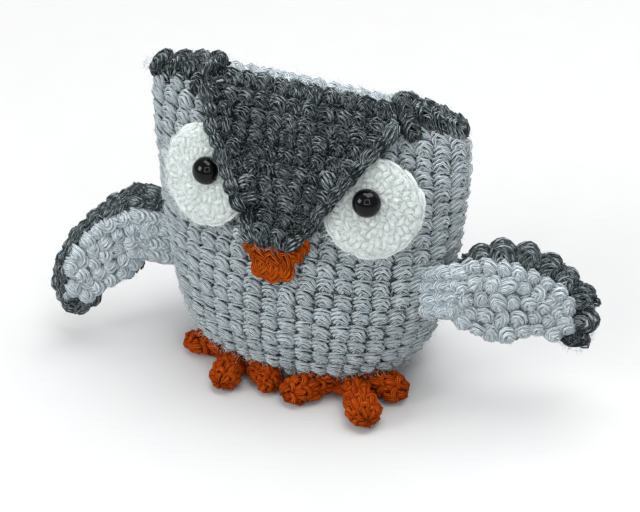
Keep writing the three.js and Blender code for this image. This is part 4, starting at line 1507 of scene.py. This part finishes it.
@dataclass
class Beak:
    """The orange beak, tucked under the mask's tip."""

    thickness: float = 4.4 * MM
    aside: float = -2 * MM
    top: float = 57 * MM
    tip: float = 42 * MM
    top_side: float = 10.5 * MM
    tip_side: float = 4.6 * MM
    round_share: float = 0.25
    stitches: tuple = (
        (-7.0, 52.0, 2.8, 4.8, -0.9), (8.7, 53.6, 4.0, 6.2, 0.5), (10.2, 55.6, 2.6, 5.4, 0.6),
        (-4.3, 51.8, 5.6, 8.0, -0.3), (0.4, 51.6, 5.8, 8.2, 0.0), (5.2, 51.9, 5.8, 8.2, 0.3),
        (-2.9, 46.6, 5.2, 6.4, 3.4), (1.2, 45.9, 5.4, 6.6, 3.1), (5.2, 46.6, 5.2, 6.4, 2.8),
    )
    stitch_lifts: tuple = (1.5 * MM, 2.6 * MM)
    outer_side: float = 8.0
    thin_width: float = 4.0
    stretch: float = 1.25
    relief: float = 0.9
    chance: float = 0.12
    cloth_share: float = 0.84
    cloth_levels: tuple = (0.3 * MM, 2.3 * MM)
    fluff_levels: tuple = (0.5 * MM, 3.0 * MM)
    fluff: Fluff = Fluff(70.0, 1.1, 1.3, 0.7)

    def outline(self) -> Array:
        """The beak's outline, counter-clockwise from its tip."""
        tall = self.top - self.tip
        round_ = self.round_share
        half = [
            (self.tip_side * (1 - round_), self.tip + tall * round_ / 6),
            (self.tip_side, self.tip + tall * round_),
            ((self.tip_side + self.top_side) / 2, self.tip + tall / 2),
            (self.top_side, self.top - tall * round_),
            (self.top_side * (1 - round_), self.top),
        ]
        points = [(0.0, self.tip)] + half + [(-x, z) for x, z in reversed(half)]
        return smooth_line(np.array(points) + [self.aside, 0], 6, closed=True)

    def build(self, box: Workbox, body: BodyShape) -> None:
        """Makes and dresses the beak."""
        surface = FrontSurface(body)
        middle = np.array([self.aside, (self.top + self.tip) / 2])
        guides = Guides()
        for across, height, width, tall, lean in self.stitches:
            lift = self.stitch_lifts[abs(across) >= self.outer_side]
            frames = surface.frames(np.array([self.aside + across * MM]), np.array([height * MM]), lift, lean)
            kind = Stitch.LOOP if lean > np.pi / 2 else Stitch.SINGLE
            kind = Stitch.PLUMP if width < self.thin_width else kind
            guides.add(frames, width * MM * self.stretch, tall * MM, kind, self.relief)
        inner = scaled(self.outline(), self.cloth_share, middle)
        cloth = slab("beak_cloth", surface, inner, middle, *self.cloth_levels)
        skin = slab("skin", surface, inner, middle, *self.fluff_levels, SKIN_RINGS)
        box.sewn("beak", "body", cloth, skin, guides, ORANGE_YARN, self.fluff, "laid", inner, self.chance)


@dataclass
class FaceMask:
    """The dark triangle over the face, worked in level rows with a braided edge."""

    beak: Beak
    eye: Eye
    thickness: float = 4 * MM
    top: float = 99.4 * MM
    corner_height: float = 97.6 * MM
    corner_side: float = 32.6 * MM
    tip: float = 52.6 * MM
    tip_side: float = 9.4 * MM
    tip_aside: float = -1.2 * MM
    ramp: float = 3 * MM
    row_height: float = 5.1 * MM
    row_lift: float = 1.0 * MM
    stitch_width: float = 5.4 * MM
    stagger: tuple = (0.25, 0.75)
    crown: float = 0.6 * MM
    foot: float = 2.6 * MM
    braid_width: float = 3.3 * MM
    braid_lift: float = 2.5 * MM
    braid_inset: float = 1.7 * MM
    braid_size: float = 4.8 * MM
    slant: float = 0.3
    stretch: tuple = (1.22, 0.98)
    relief: float = 1.08
    chance: tuple = (0.2, 0.08)
    cloth_share: float = 0.92
    cloth_levels: tuple = (0.4 * MM, 1.5 * MM)
    cloth_rings: int = 14
    fluff_share: float = 0.96
    fluff_levels: tuple = (1.0 * MM, 3.4 * MM)
    fluff: Fluff = Fluff(110.0, 1.5, 1.35)

    def outline(self) -> Array:
        """The mask's outline, counter-clockwise from its tip."""
        round_ = self.tip_side * 0.55
        half = [(round_, self.tip + (self.tip_side - round_) / 4), (self.tip_side, self.tip + round_)]
        start = half[-1]
        for i in range(1, 6):
            share = i / 5
            height = start[1] + (self.corner_height - self.thickness - start[1]) * share
            half.append((start[0] + (self.corner_side - start[0]) * share, height))
        half.append((self.corner_side - self.thickness / 4, self.corner_height - self.thickness / 4))
        crown = []
        for share in np.linspace(0.85, -0.85, 7):
            crown.append((self.corner_side * share, self.top - (self.top - self.corner_height) * share**2))
        points = [(0.0, self.tip)] + half + crown + [(-x, z) for x, z in reversed(half)]
        moved = [(x + self.tip_aside * (self.top - z) / (self.top - self.tip), z) for x, z in points]
        return smooth_line(np.array(moved), 8, closed=True)

    def rise(self, x: Array, z: Array) -> Array:
        """How far the mask climbs over the patches and the beak."""
        def climbed(distance: Array) -> Array:
            """1 on the other piece and 0 away from it."""
            t = np.clip(1 - distance / self.ramp, 0, 1)
            return t * t * (3 - 2 * t)

        beside = np.abs(x - self.beak.aside) - self.beak.top_side
        over = climbed(np.maximum(beside, z - self.beak.top)) * self.beak.thickness
        for sign in (1, -1):
            away = np.hypot(x - sign * self.eye.patch_side, z - self.eye.patch_height) - self.eye.patch_radius
            over = np.maximum(over, climbed(away) * self.eye.patch_thickness)
        return over

    def build(self, box: Workbox, body: BodyShape) -> None:
        """Makes and dresses the mask."""
        surface = FrontSurface(body, self.rise)
        outline = self.outline()
        guides = Guides()
        heights = np.linspace(self.tip + self.foot, self.top + self.crown, 120)
        spine = body.front(np.zeros(len(heights)), heights)
        rows = round(length_of(spine) / self.row_height)
        for k, height in enumerate(spaced(spine, 2 * rows + 1)[1::2, 2]):
            left, right = inside_span(outline, min(height, self.corner_height - 0.5 * MM))
            left, right = left + self.braid_width, right - self.braid_width
            count = max(1, round((right - left) / self.stitch_width))
            width = (right - left) / count
            x = left + width * (np.arange(count) + self.stagger[k % 2])
            frames = surface.frames(x, np.full(count, height), self.row_lift, self.slant)
            wider, taller = self.stretch
            guides.add(frames, width * wider, self.row_height * taller, relief=self.relief)
        for side in (1, -1):
            edge = outline[outline[:, 0] * side > 0]
            edge = edge[(edge[:, 1] < self.corner_height - 3 * MM) & (edge[:, 1] > self.tip + self.foot)]
            edge = edge[np.argsort(edge[:, 1])] - np.array([side * self.braid_inset, 0])
            lay_braid(guides, surface, edge, self.braid_lift, self.braid_size, self.braid_size)
        middle = np.array([0.0, (2 * self.top + self.tip) / 3])
        shrunk = scaled(outline, self.cloth_share, middle)
        cloth = slab("face_mask_cloth", surface, shrunk, middle, *self.cloth_levels, self.cloth_rings)
        skin = slab("skin", surface, scaled(outline, self.fluff_share, middle), middle,
                    *self.fluff_levels, SKIN_RINGS)
        box.sewn("face_mask", "body", cloth, skin, guides, DARK_YARN, self.fluff, "laid", shrunk,
                 *self.chance)


class EdgeKind(IntEnum):
    """How a wing's dark back panel is edged."""

    SCALLOPED = 0
    BRAIDED = 1


@dataclass(frozen=True)
class Panel:
    """One of a wing's two panels: its finish, and the size and levels of its cloth and its fibres."""

    part: str
    finish: YarnFinish
    cloth_share: float
    low: float
    high: float
    rise: float


FRONT = Panel("front", PANEL_YARN, 0.93, 0.2 * MM, 1.9 * MM, 1.3 * MM)
BACK = Panel("back", EDGE_YARN, 0.97, -3.0 * MM, -0.6 * MM, 2.2 * MM)


@dataclass(frozen=True)
class Rows:
    """Rows of stitches on a panel: their lift, the shares they run between, their kind and relief."""

    lift: float
    start: float
    end: float
    kind: Stitch
    relief: float
    slant: float = 0.0


@dataclass
class Wing:
    """One wing: a light front panel on a larger dark back panel with a worked edge."""

    word: str
    side: int
    reach: float
    sweep: float
    outlines: tuple
    tips: tuple
    edge: EdgeKind = EdgeKind.SCALLOPED
    rows: int = 5
    row_samples: int = 40
    front_rows: tuple = (
        Rows(0.9 * MM, 0.0, 0.98, Stitch.SINGLE, 0.7), Rows(1.5 * MM, 0.04, 0.98, Stitch.LOOP, 0.95, 0.6),
    )
    rear_rows: Rows = Rows(1.0 * MM, 0.0, 0.93, Stitch.SINGLE, 0.85)
    stagger: float = 0.125
    stretch: tuple = (1.06, 1.12)
    stitch_width: float = 4.9 * MM
    least_height: float = 4.2 * MM
    most_height: float = 6.2 * MM
    chance: tuple = (0.34, 0.14)
    fluff: Fluff = Fluff(120.0, 1.25, 1.3)
    shells: int = 8
    shell_part: tuple = (0.42, 0.93)
    shell_rows: tuple = (
        (0.34, -2.2 * MM, (0.94, 1.0), Stitch.SHELL, 1.35), (1.0, -2.4 * MM, (1.0, 0.8), Stitch.SINGLE, 1.1),
    )
    braid_part: tuple = (0.26, 0.99)
    braid_rows: tuple = ((0.6 * MM, -1.4 * MM), (4.4 * MM, -1.2 * MM))
    braid_link: tuple = (4.4 * MM, 5.4 * MM)
    root_share: float = 0.06
    root_rows: tuple = (-5.6, -1.6, 2.4, 6.4)
    root_inset: float = 2.6 * MM
    root_size: tuple = (5.4 * MM, 6.4 * MM)
    root_pitch: float = 4.2 * MM
    root_step: float = 0.8 * MM
    root_chance: tuple = (0.14, 0.1)
    root_bend: tuple = (-5 * MM, 3 * MM)
    edge_rows: tuple = ()
    knot: tuple | None = None
    knot_size: float = 2.3 * MM

    def __post_init__(self) -> None:
        """Finds the wing's body and its hinge in the frame."""
        self.body_name = f"{self.word}_wing"
        joint = next(j for j in frame["joints"] if j["child"] == self.body_name)
        self.plane = WingPlane(np.array(joint["pos_m"]), self.side, self.sweep, self.reach)
        self.facing = MirroredSurface(self.plane)

    def _sides(self, outline: Array, tip_share: float) -> tuple:
        """Lower and upper edges from root to tip, of an outline that starts along the lower one."""
        tip = round(tip_share * len(outline))
        inward = np.array([self.root_share * self.reach, 0])
        low = np.vstack([outline[:1] - inward, outline[: tip + 1]])
        high = np.vstack([outline[tip:], outline[-1:] - inward])[::-1]
        return low, high

    def _root(self, box: Workbox, part: str, heights: tuple, finish: YarnFinish, lift: float) -> None:
        """Works the loops that sew the wing on, which cross its hinge.

        Args:
            box: the shared tools.
            part: the last words of the piece's name.
            heights: heights of the rows from the hinge, in millimetres.
            finish: their yarn.
            lift: how far they stand off the wing's plane.
        """
        guides = Guides()
        rows = np.array(heights) * MM
        for along in (-1.0, 0.0, 1.0):
            across = np.full(len(rows), (along * self.root_pitch - self.root_inset) * self.side)
            turn = -self.side * np.pi / 2 + 0.2
            frames = self.facing.frames(across, rows + along * self.root_step, lift, turn)
            for kind, relief in ((Stitch.LOOP, 1.0), (Stitch.SINGLE, 0.6)):
                guides.add(frames, *self.root_size, kind, relief)
        loops = box.crochet(f"{self.word}_wing_{part}", guides, finish, *self.root_chance)
        start, end = (tuple(self.plane.hinge + self.plane.out * reach) for reach in self.root_bend)
        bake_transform(loops)
        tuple(start)
        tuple(end)

    def _lay(self, guides: Guides, surface: Surface, edges: tuple, rows: Rows) -> None:
        """Lays rows of stitches between a panel's lower and upper edges.

        Args:
            guides: where the stitches go.
            surface: the face that they lie on.
            edges: the lower and the upper edge, from root to tip.
            rows: how they are worked.
        """
        count = self.row_samples
        shares = np.linspace(0, 1, count)
        low, high = (spaced(edge, count) for edge in edges)
        gap = np.linalg.norm(low - high, axis=1)
        for k in range(self.rows):
            share = (k + 0.5) / self.rows
            line = spaced(low * (1 - share) + high * share, count, rows.start, rows.end)
            stitches = max(3, round(length_of(line) / self.stitch_width))
            way = 1 if k % 2 else -1
            t = (np.arange(stitches) + 0.5 + way * self.stagger) / stitches
            place = np.stack([np.interp(t, shares, line[:, i]) for i in range(2)], axis=1)
            run = np.gradient(place, axis=0)
            turn = np.arctan2(-run[:, 1], run[:, 0]) + way * rows.slant
            tall = np.clip(np.interp(t, shares, gap) / self.rows, self.least_height, self.most_height)
            frames = surface.frames(*place.T, rows.lift, turn)
            wider, taller = self.stretch
            guides.add(frames, length_of(line) / stitches * wider, tall * taller, rows.kind, rows.relief)

    def _front(self, guides: Guides, edges: tuple) -> None:
        """Adds the front panel's stitches, and the end of its yarn where one shows."""
        for rows in self.front_rows:
            self._lay(guides, self.facing, edges, rows)
        for turn in (0.0, np.pi) if self.knot else ():
            x, z = (np.array([share * self.reach]) for share in self.knot)
            guides.add(self.facing.frames(x * self.side, z, 0.4 * MM, turn), self.knot_size, self.knot_size,
                       Stitch.PLUMP, 0.5)

    def _back(self, guides: Guides, edges: tuple, outline: Array) -> None:
        """Adds the back panel's stitches on its rear, and its worked edge."""
        rear = MirroredSurface(self.plane, -1)
        self._lay(guides, rear, tuple(edge * [-1, 1] for edge in edges), self.rear_rows)
        closed = np.vstack([outline, outline[:1]])
        if self.edge is EdgeKind.SCALLOPED:
            self._scallops(guides, spaced(closed, 200, *self.shell_part), outline.mean(0))
        else:
            line = spaced(closed, 60, *self.braid_part)
            for inward, lift in self.braid_rows:
                lay_braid(guides, self.facing, line - unit(line - outline.mean(0)) * inward, lift,
                          *self.braid_link)

    def _scallops(self, guides: Guides, line: Array, middle: Array) -> None:
        """Lays round bumps along a line on the back panel, and a row inside them."""
        place = spaced(line, 2 * self.shells + 1)[1::2]
        run = unit(np.gradient(place, axis=0))
        normal = np.stack([run[:, 1], -run[:, 0]], axis=1)
        away = normal * np.sign(((place - middle) * normal).sum(1, keepdims=True))
        turn = np.arctan2(away[:, 0], away[:, 1])
        width = length_of(line) / self.shells
        for inset, lift, size, kind, relief in self.shell_rows:
            inner = place - away * width * inset
            frames = self.facing.frames(*inner.T, lift, turn)
            guides.add(frames, width * size[0], width * size[1], kind, relief)

    def build(self, box: Workbox) -> None:
        """Makes and dresses both panels, and the yarn that sews them on."""
        mirror = [self.side, 1]
        for panel, shares, tip in zip((FRONT, BACK), self.outlines, self.tips):
            shape = smooth_line(np.array(shares) * self.reach, 6, closed=True)
            flat, middle = shape * mirror, shape.mean(0) * mirror
            edges = tuple(edge * mirror for edge in self._sides(shape, tip))
            guides = Guides()
            if panel is FRONT:
                self._front(guides, edges)
            else:
                self._back(guides, edges, flat)
            cut = scaled(flat, panel.cloth_share, middle)
            node = f"{self.word}_wing_{panel.part}"
            cloth = slab(node + "_cloth", self.facing, cut, middle, panel.low, panel.high)
            skin = slab("skin", self.facing, cut if panel is FRONT else flat, middle, panel.low,
                        panel.high + panel.rise)
            box.sewn(node, self.body_name, cloth, skin, guides, panel.finish, self.fluff, "hung", cut,
                     *self.chance)
        self._root(box, "root", self.root_rows, PANEL_YARN, 1.2 * MM)
        if self.edge_rows:
            self._root(box, "root_edge", self.edge_rows, EDGE_YARN, 0.4 * MM)


@dataclass
class Foot:
    """One foot: three stubby toes on a heel under the front of the body."""

    word: str
    side: float
    toe_shares: tuple
    toe_length: float = 20 * MM
    toe_radius: float = 5 * MM
    root_radius: float = 2.6 * MM
    heel_radius: float = 10 * MM
    heel_thickness: float = 6.4 * MM
    heel_inset: float = 13 * MM
    sole_flat: float = 0.5 * MM
    sole_bend: float = 2.0 * MM
    sole_gap: float = 0.15 * MM
    hidden: float = 5 * MM
    round_height: float = 5.4 * MM
    stretch: tuple = (1.1, 1.2)
    relief: float = 0.85
    chance: float = 0.12
    twist: float = 0.22
    sunk: float = 1.5 * MM
    core_lift: float = -1.6 * MM
    core_sides: int = 16
    pad_sides: int = 20
    pad_levels: int = 10
    fill: float = 0.7

    def build(self, box: Workbox, body: BodyShape) -> None:
        """Makes and dresses the toes and the heel."""
        heel = np.array([self.side, self.heel_inset - body.set_back - body.half_depth,
                         self.toe_radius - self.sole_flat])
        toes = [self._toe(heel, math.radians(degrees), self.toe_length * share, girth)
                for share, degrees, girth in self.toe_shares]
        pad = heel * [1, 1, 0] + [0, 0, self.heel_thickness / 2]
        parts = [self._core(toe) for toe in toes] + [self._pad(pad)]
        # The cores and heel carry the toe yarn darkened as painted shade between the stitches.
        core = box.ground(outward(joined(f"{self.word}_foot_core", parts)), SHADED_TOE_YARN)
        knit = self._stitches(box, toes)
        carried([core, knit], "body", SHADED_TOE_YARN.slot)
        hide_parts(f"{self.word}_foot")

    def _toe(self, heel: Array, angle: float, reach: float, girth: float) -> LimbShape:
        """A toe's outer form from the heel to its tip.

        Args:
            heel: the middle of the heel.
            angle: which way the toe points, from straight ahead to the owl's left.
            reach: its length from the heel.
            girth: its thickness, as a share of the usual.

        Returns:
            The toe's surface.
        """
        radius = self.toe_radius * girth
        end = reach + self.toe_radius / 2
        quarter = np.linspace(0, np.pi / 2, 12)
        stations = np.concatenate([[0.0], end - radius + radius * np.sin(quarter)])
        radii = np.concatenate([[self.root_radius * girth], radius * np.cos(quarter)])
        direction = np.array([math.sin(angle), -math.cos(angle), 0.0])
        return LimbShape(heel + [0, 0, radius - self.toe_radius], direction, stations, radii)

    def _stitches(self, box: Workbox, toes: list) -> Object:
        """Works the rounds of every toe flat, a metre apart, and bends each round its toe."""
        guides = Guides()
        for i, toe in enumerate(toes):
            seen = toe.length - self.hidden
            rounds = max(2, round(seen / self.round_height))
            count = round(toe.around / CELL[0])
            for k in range(rounds):
                x = i + toe.around * (np.arange(count) + 0.5 * (k % 2)) / count
                y = np.full(count, self.hidden + seen * (k + 0.5) / rounds)
                out, up = (np.tile(way, (count, 1)) for way in (UPRIGHT, [0.0, -1.0, 0.0]))
                wider, taller = self.stretch
                guides.add((np.stack([x, y, np.zeros(count)], axis=1), out, up), toe.around / count * wider,
                           seen / rounds * taller, Stitch.PLUMP, self.relief)
        knit = box.crochet(f"{self.word}_foot_stitches", guides, SHADED_TOE_YARN, self.chance)
        flat = points_of(knit)
        owner = np.rint(flat[:, 0]).astype(int)
        bent = np.empty_like(flat)
        for i, toe in enumerate(toes):
            mine = owner == i
            x, y, z = flat[mine].T
            share = np.clip(y / toe.length, 0, 1)
            bent[mine] = toe.at((x - i) / toe.around + self.twist * share, share, z - self.sunk)
        low = bent[:, 2] < self.sole_bend
        give = self.sole_bend - self.sole_gap
        bent[low, 2] = self.sole_gap + give * np.exp((bent[low, 2] - self.sole_bend) / give)
        knit.data.vertices.foreach_set("co", bent.ravel())
        knit.data.update()
        return knit

    def _core(self, toe: LimbShape) -> tuple:
        """Points and faces of the core inside a toe's stitches, which carries the painted shade between them.
        """
        sides = self.core_sides
        v, u = np.meshgrid(np.linspace(0, 1, sides), np.arange(sides) / sides, indexing="ij")
        points = toe.at(u, v, np.full(u.shape, self.core_lift)).reshape(-1, 3)
        points[:, 2] = np.maximum(points[:, 2], 2 * self.sole_gap)
        return points, tube_faces(sides, sides)

    def _pad(self, middle: Array) -> tuple:
        """Points and faces of the heel under the body."""
        tilt, turn = np.meshgrid(np.linspace(-np.pi / 2, np.pi / 2, self.pad_levels + 2)[1:-1],
                                 np.arange(self.pad_sides) / self.pad_sides * 2 * np.pi, indexing="ij")
        r = self.heel_radius - 1 * MM
        points = np.stack([r * np.cos(tilt) * np.cos(turn), r * np.cos(tilt) * np.sin(turn),
                           (self.heel_thickness / 2 - 0.5 * MM) * np.sin(tilt)], axis=-1).reshape(-1, 3)
        return points + middle, tube_faces(self.pad_levels, self.pad_sides)


LEFT_BACK = (
    (0, -0.1), (0.11, -0.23), (0.25, -0.3), (0.38, -0.33), (0.5, -0.28), (0.62, -0.265), (0.73, -0.31),
    (0.84, -0.365), (0.925, -0.34), (0.955, -0.25), (0.97, -0.12), (0.92, 0.01), (0.82, 0.135), (0.68, 0.245),
    (0.54, 0.305), (0.38, 0.33), (0.24, 0.32), (0.1, 0.24), (0, 0.1),
)
LEFT_FRONT = LEFT_BACK[:6] + (
    (0.72, -0.29), (0.775, -0.24), (0.8, -0.12), (0.78, 0), (0.7, 0.09), (0.58, 0.17), (0.43, 0.225),
    (0.27, 0.27), (0.13, 0.25), (0.03, 0.17), (0, 0.09),
)
RIGHT_BACK = (
    (0, -0.14), (0.1, -0.4), (0.2, -0.56), (0.36, -0.66), (0.5, -0.72), (0.6, -0.84), (0.71, -0.95),
    (0.82, -0.99), (0.92, -0.92), (0.975, -0.76), (0.985, -0.56), (0.93, -0.38), (0.81, -0.2), (0.67, -0.04),
    (0.52, 0.09), (0.38, 0.21), (0.24, 0.31), (0.11, 0.34), (0.02, 0.22), (0, 0.14),
)
RIGHT_FRONT = RIGHT_BACK[:5] + (
    (0.6, -0.82), (0.7, -0.86), (0.79, -0.78), (0.82, -0.62), (0.82, -0.48), (0.77, -0.33), (0.67, -0.18),
    (0.54, -0.05), (0.4, 0.04), (0.24, 0.1), (0.1, 0.1), (0.02, 0.08),
)


@dataclass
class Studio:
    """The pale floor, the soft lights and the camera at the photograph's angle."""

    azimuth: float = math.radians(21.11)
    elevation: float = math.radians(33.0)
    roll: float = math.radians(0.23)
    distance: float = 645 * MM
    shift_right: float = -2.71 * MM
    shift_up: float = 13.19 * MM
    aim_height: float = 50 * MM
    lens: float = 112.5
    sensor: float = 36.0
    floor_half: float = 3.0
    window: Vector = Vector((0.33, -0.86, 0.68))
    window_right: Vector = Vector((0.93, 0.36, 0.0))
    window_up: Vector = Vector((0.0, 0.5, 0.84))
    lamps: tuple = (
        ("overhead", (0.1, 0.2, 1.0), (0, 0, 0.05), (0.9, 0.9), 14.5),
        ("front", (-0.8, -0.8, 0.6), (0, 0, 0.05), (0.5, 0.5), 7.5),
    )
    window_aim: tuple = (0.03, -0.02, 0.07)
    window_power: float = 1.0
    window_bars: tuple = (
        ("window_top", 0.0, 0.36, (0.72, 0.05)), ("window_foot", 0.0, -0.3, (0.72, 0.05)),
        ("window_left", -0.36, 0.03, (0.05, 0.66)), ("window_right", 0.36, 0.03, (0.05, 0.66)),
    )
    room_colour: tuple = (0.97, 0.985, 1.0, 1)
    room_strength: float = 0.36

    def camera(self) -> None:
        """Sets the camera up."""
        a, e = self.azimuth, self.elevation
        back = Vector((math.sin(a) * math.cos(e), -math.cos(a) * math.cos(e), math.sin(e)))
        right = Vector((math.cos(a), math.sin(a), 0))
        up = back.cross(right)
        right_rolled = right * math.cos(self.roll) + up * math.sin(self.roll)
        up_rolled = up * math.cos(self.roll) - right * math.sin(self.roll)
        place = Vector((0, 0, self.aim_height)) + back * self.distance
        place -= right_rolled * self.shift_right + up_rolled * self.shift_up
        data = bpy.data.cameras.new("camera")
        data.lens = self.lens
        data.sensor_width = self.sensor
        camera = shown(bpy.data.objects.new("camera", data))
        turn = Matrix((right_rolled, up_rolled, back)).transposed()
        camera.matrix_world = Matrix.Translation(place) @ turn.to_4x4()
        bpy.context.scene.camera = camera

    def floor(self) -> None:
        """Lays the plain pale floor."""
        corners = np.array([(-1, -1, 0), (1, -1, 0), (1, 1, 0), (-1, 1, 0)]) * self.floor_half
        shader = Shader("floor")
        colour = shader.mix(shader.noise(60.0), (0.565, 0.565, 0.57, 1), (0.585, 0.585, 0.585, 1))
        floor = shown(mesh_object("floor", corners, [(0, 1, 2, 3)], smooth=False),
                      shader.finish(Base_Color=colour, Roughness=0.9, Specular_IOR_Level=0.1))
        floor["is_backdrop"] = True

    def lights(self) -> None:
        """Hangs a large soft light overhead, one in front and four round a window, in a white room."""
        for lamp in self.lamps:
            self._area(*lamp)
        for name, right, up, size in self.window_bars:
            place = self.window + self.window_right * right + self.window_up * up
            self._area(name, tuple(place), self.window_aim, size, self.window_power)
        world = bpy.data.worlds.new("room")
        world.use_nodes = True
        background = world.node_tree.nodes["Background"].inputs
        background["Color"].default_value = self.room_colour
        background["Strength"].default_value = self.room_strength
        bpy.context.scene.world = world
        bpy.context.scene.view_settings.view_transform = "Standard"

    def _area(self, name: str, place: tuple, aim: tuple, size: tuple, power: float) -> None:
        """Adds one rectangular soft light."""
        data = bpy.data.lights.new(name, "AREA")
        data.energy = power
        data.shape = "RECTANGLE"
        data.size, data.size_y = size
        light = shown(bpy.data.objects.new(name, data))
        light.location = place
        light.rotation_mode = "QUATERNION"
        light.rotation_quaternion = (Vector(place) - Vector(aim)).to_track_quat("Z", "Y")


def dress_washers(box: Workbox) -> None:
    """Gives the hidden washers their plastic."""
    finish = PlasticFinish("washer_plastic", (0.72, 0.72, 0.70), 0.45)
    for word in ("left", "right"):
        washer = frame["nodes"][f"{word}_eye_washer"]
        washer.data.materials.clear()
        washer.data.materials.append(box.dressed(finish.name, finish.material))


def main() -> None:
    """Builds every piece of the owl, then its floor, lights and camera."""
    logging.basicConfig(level=logging.INFO, format="%(name)s: %(message)s")
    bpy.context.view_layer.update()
    studio = Studio()
    studio.camera()
    box = Workbox()
    body = Body(box)
    eyes = [Eye("left", 1), Eye("right", -1)]
    beak = Beak()
    mask = FaceMask(beak=beak, eye=eyes[0])
    body.build([eye.circle(eye.patch_radius - 1 * MM) for eye in eyes]
               + [scaled(beak.outline(), 1.16), scaled(mask.outline(), 1.02)])
    log.info("body: %d rows of %d stitches", body.rows, body.columns)
    for eye in eyes:
        eye.build(box, body.shape)
        log.info("%s eye and patch", eye.word)
    for piece in (beak, mask):
        piece.build(box, body.shape)
        log.info("%s", type(piece).__name__)
    wings = [
        Wing("left", 1, 46.5 * MM, math.radians(16), (LEFT_FRONT, LEFT_BACK), (0.47, 0.5)),
        Wing("right", -1, 32 * MM, math.radians(-18), (RIGHT_FRONT, RIGHT_BACK), (0.47, 0.42),
             edge=EdgeKind.BRAIDED, root_rows=(-10.5, -6.2, -1.9, 2.0), root_inset=1.0 * MM,
             edge_rows=(6.2, 9.8), knot=(0.88, -0.82)),
    ]
    for wing in wings:
        wing.build(box)
        log.info("%s wing", wing.word)
    feet = [
        Foot("left", 21 * MM, ((1.06, -45, 0.98), (1.12, 33, 1.1), (0.86, 88, 0.96))),
        Foot("right", -17 * MM, ((0.9, -91.2, 0.86), (0.84, 0, 0.98), (0.98, 52, 0.9))),
    ]
    for foot in feet:
        foot.build(box, body.shape)
        log.info("%s foot", foot.word)
    dress_washers(box)
    box.put_away()
    studio.floor()
    studio.lights()
    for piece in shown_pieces():
        log.info("%s: %d faces", piece.name, len(piece.data.polygons))


if __name__ == "__main__":
    main()
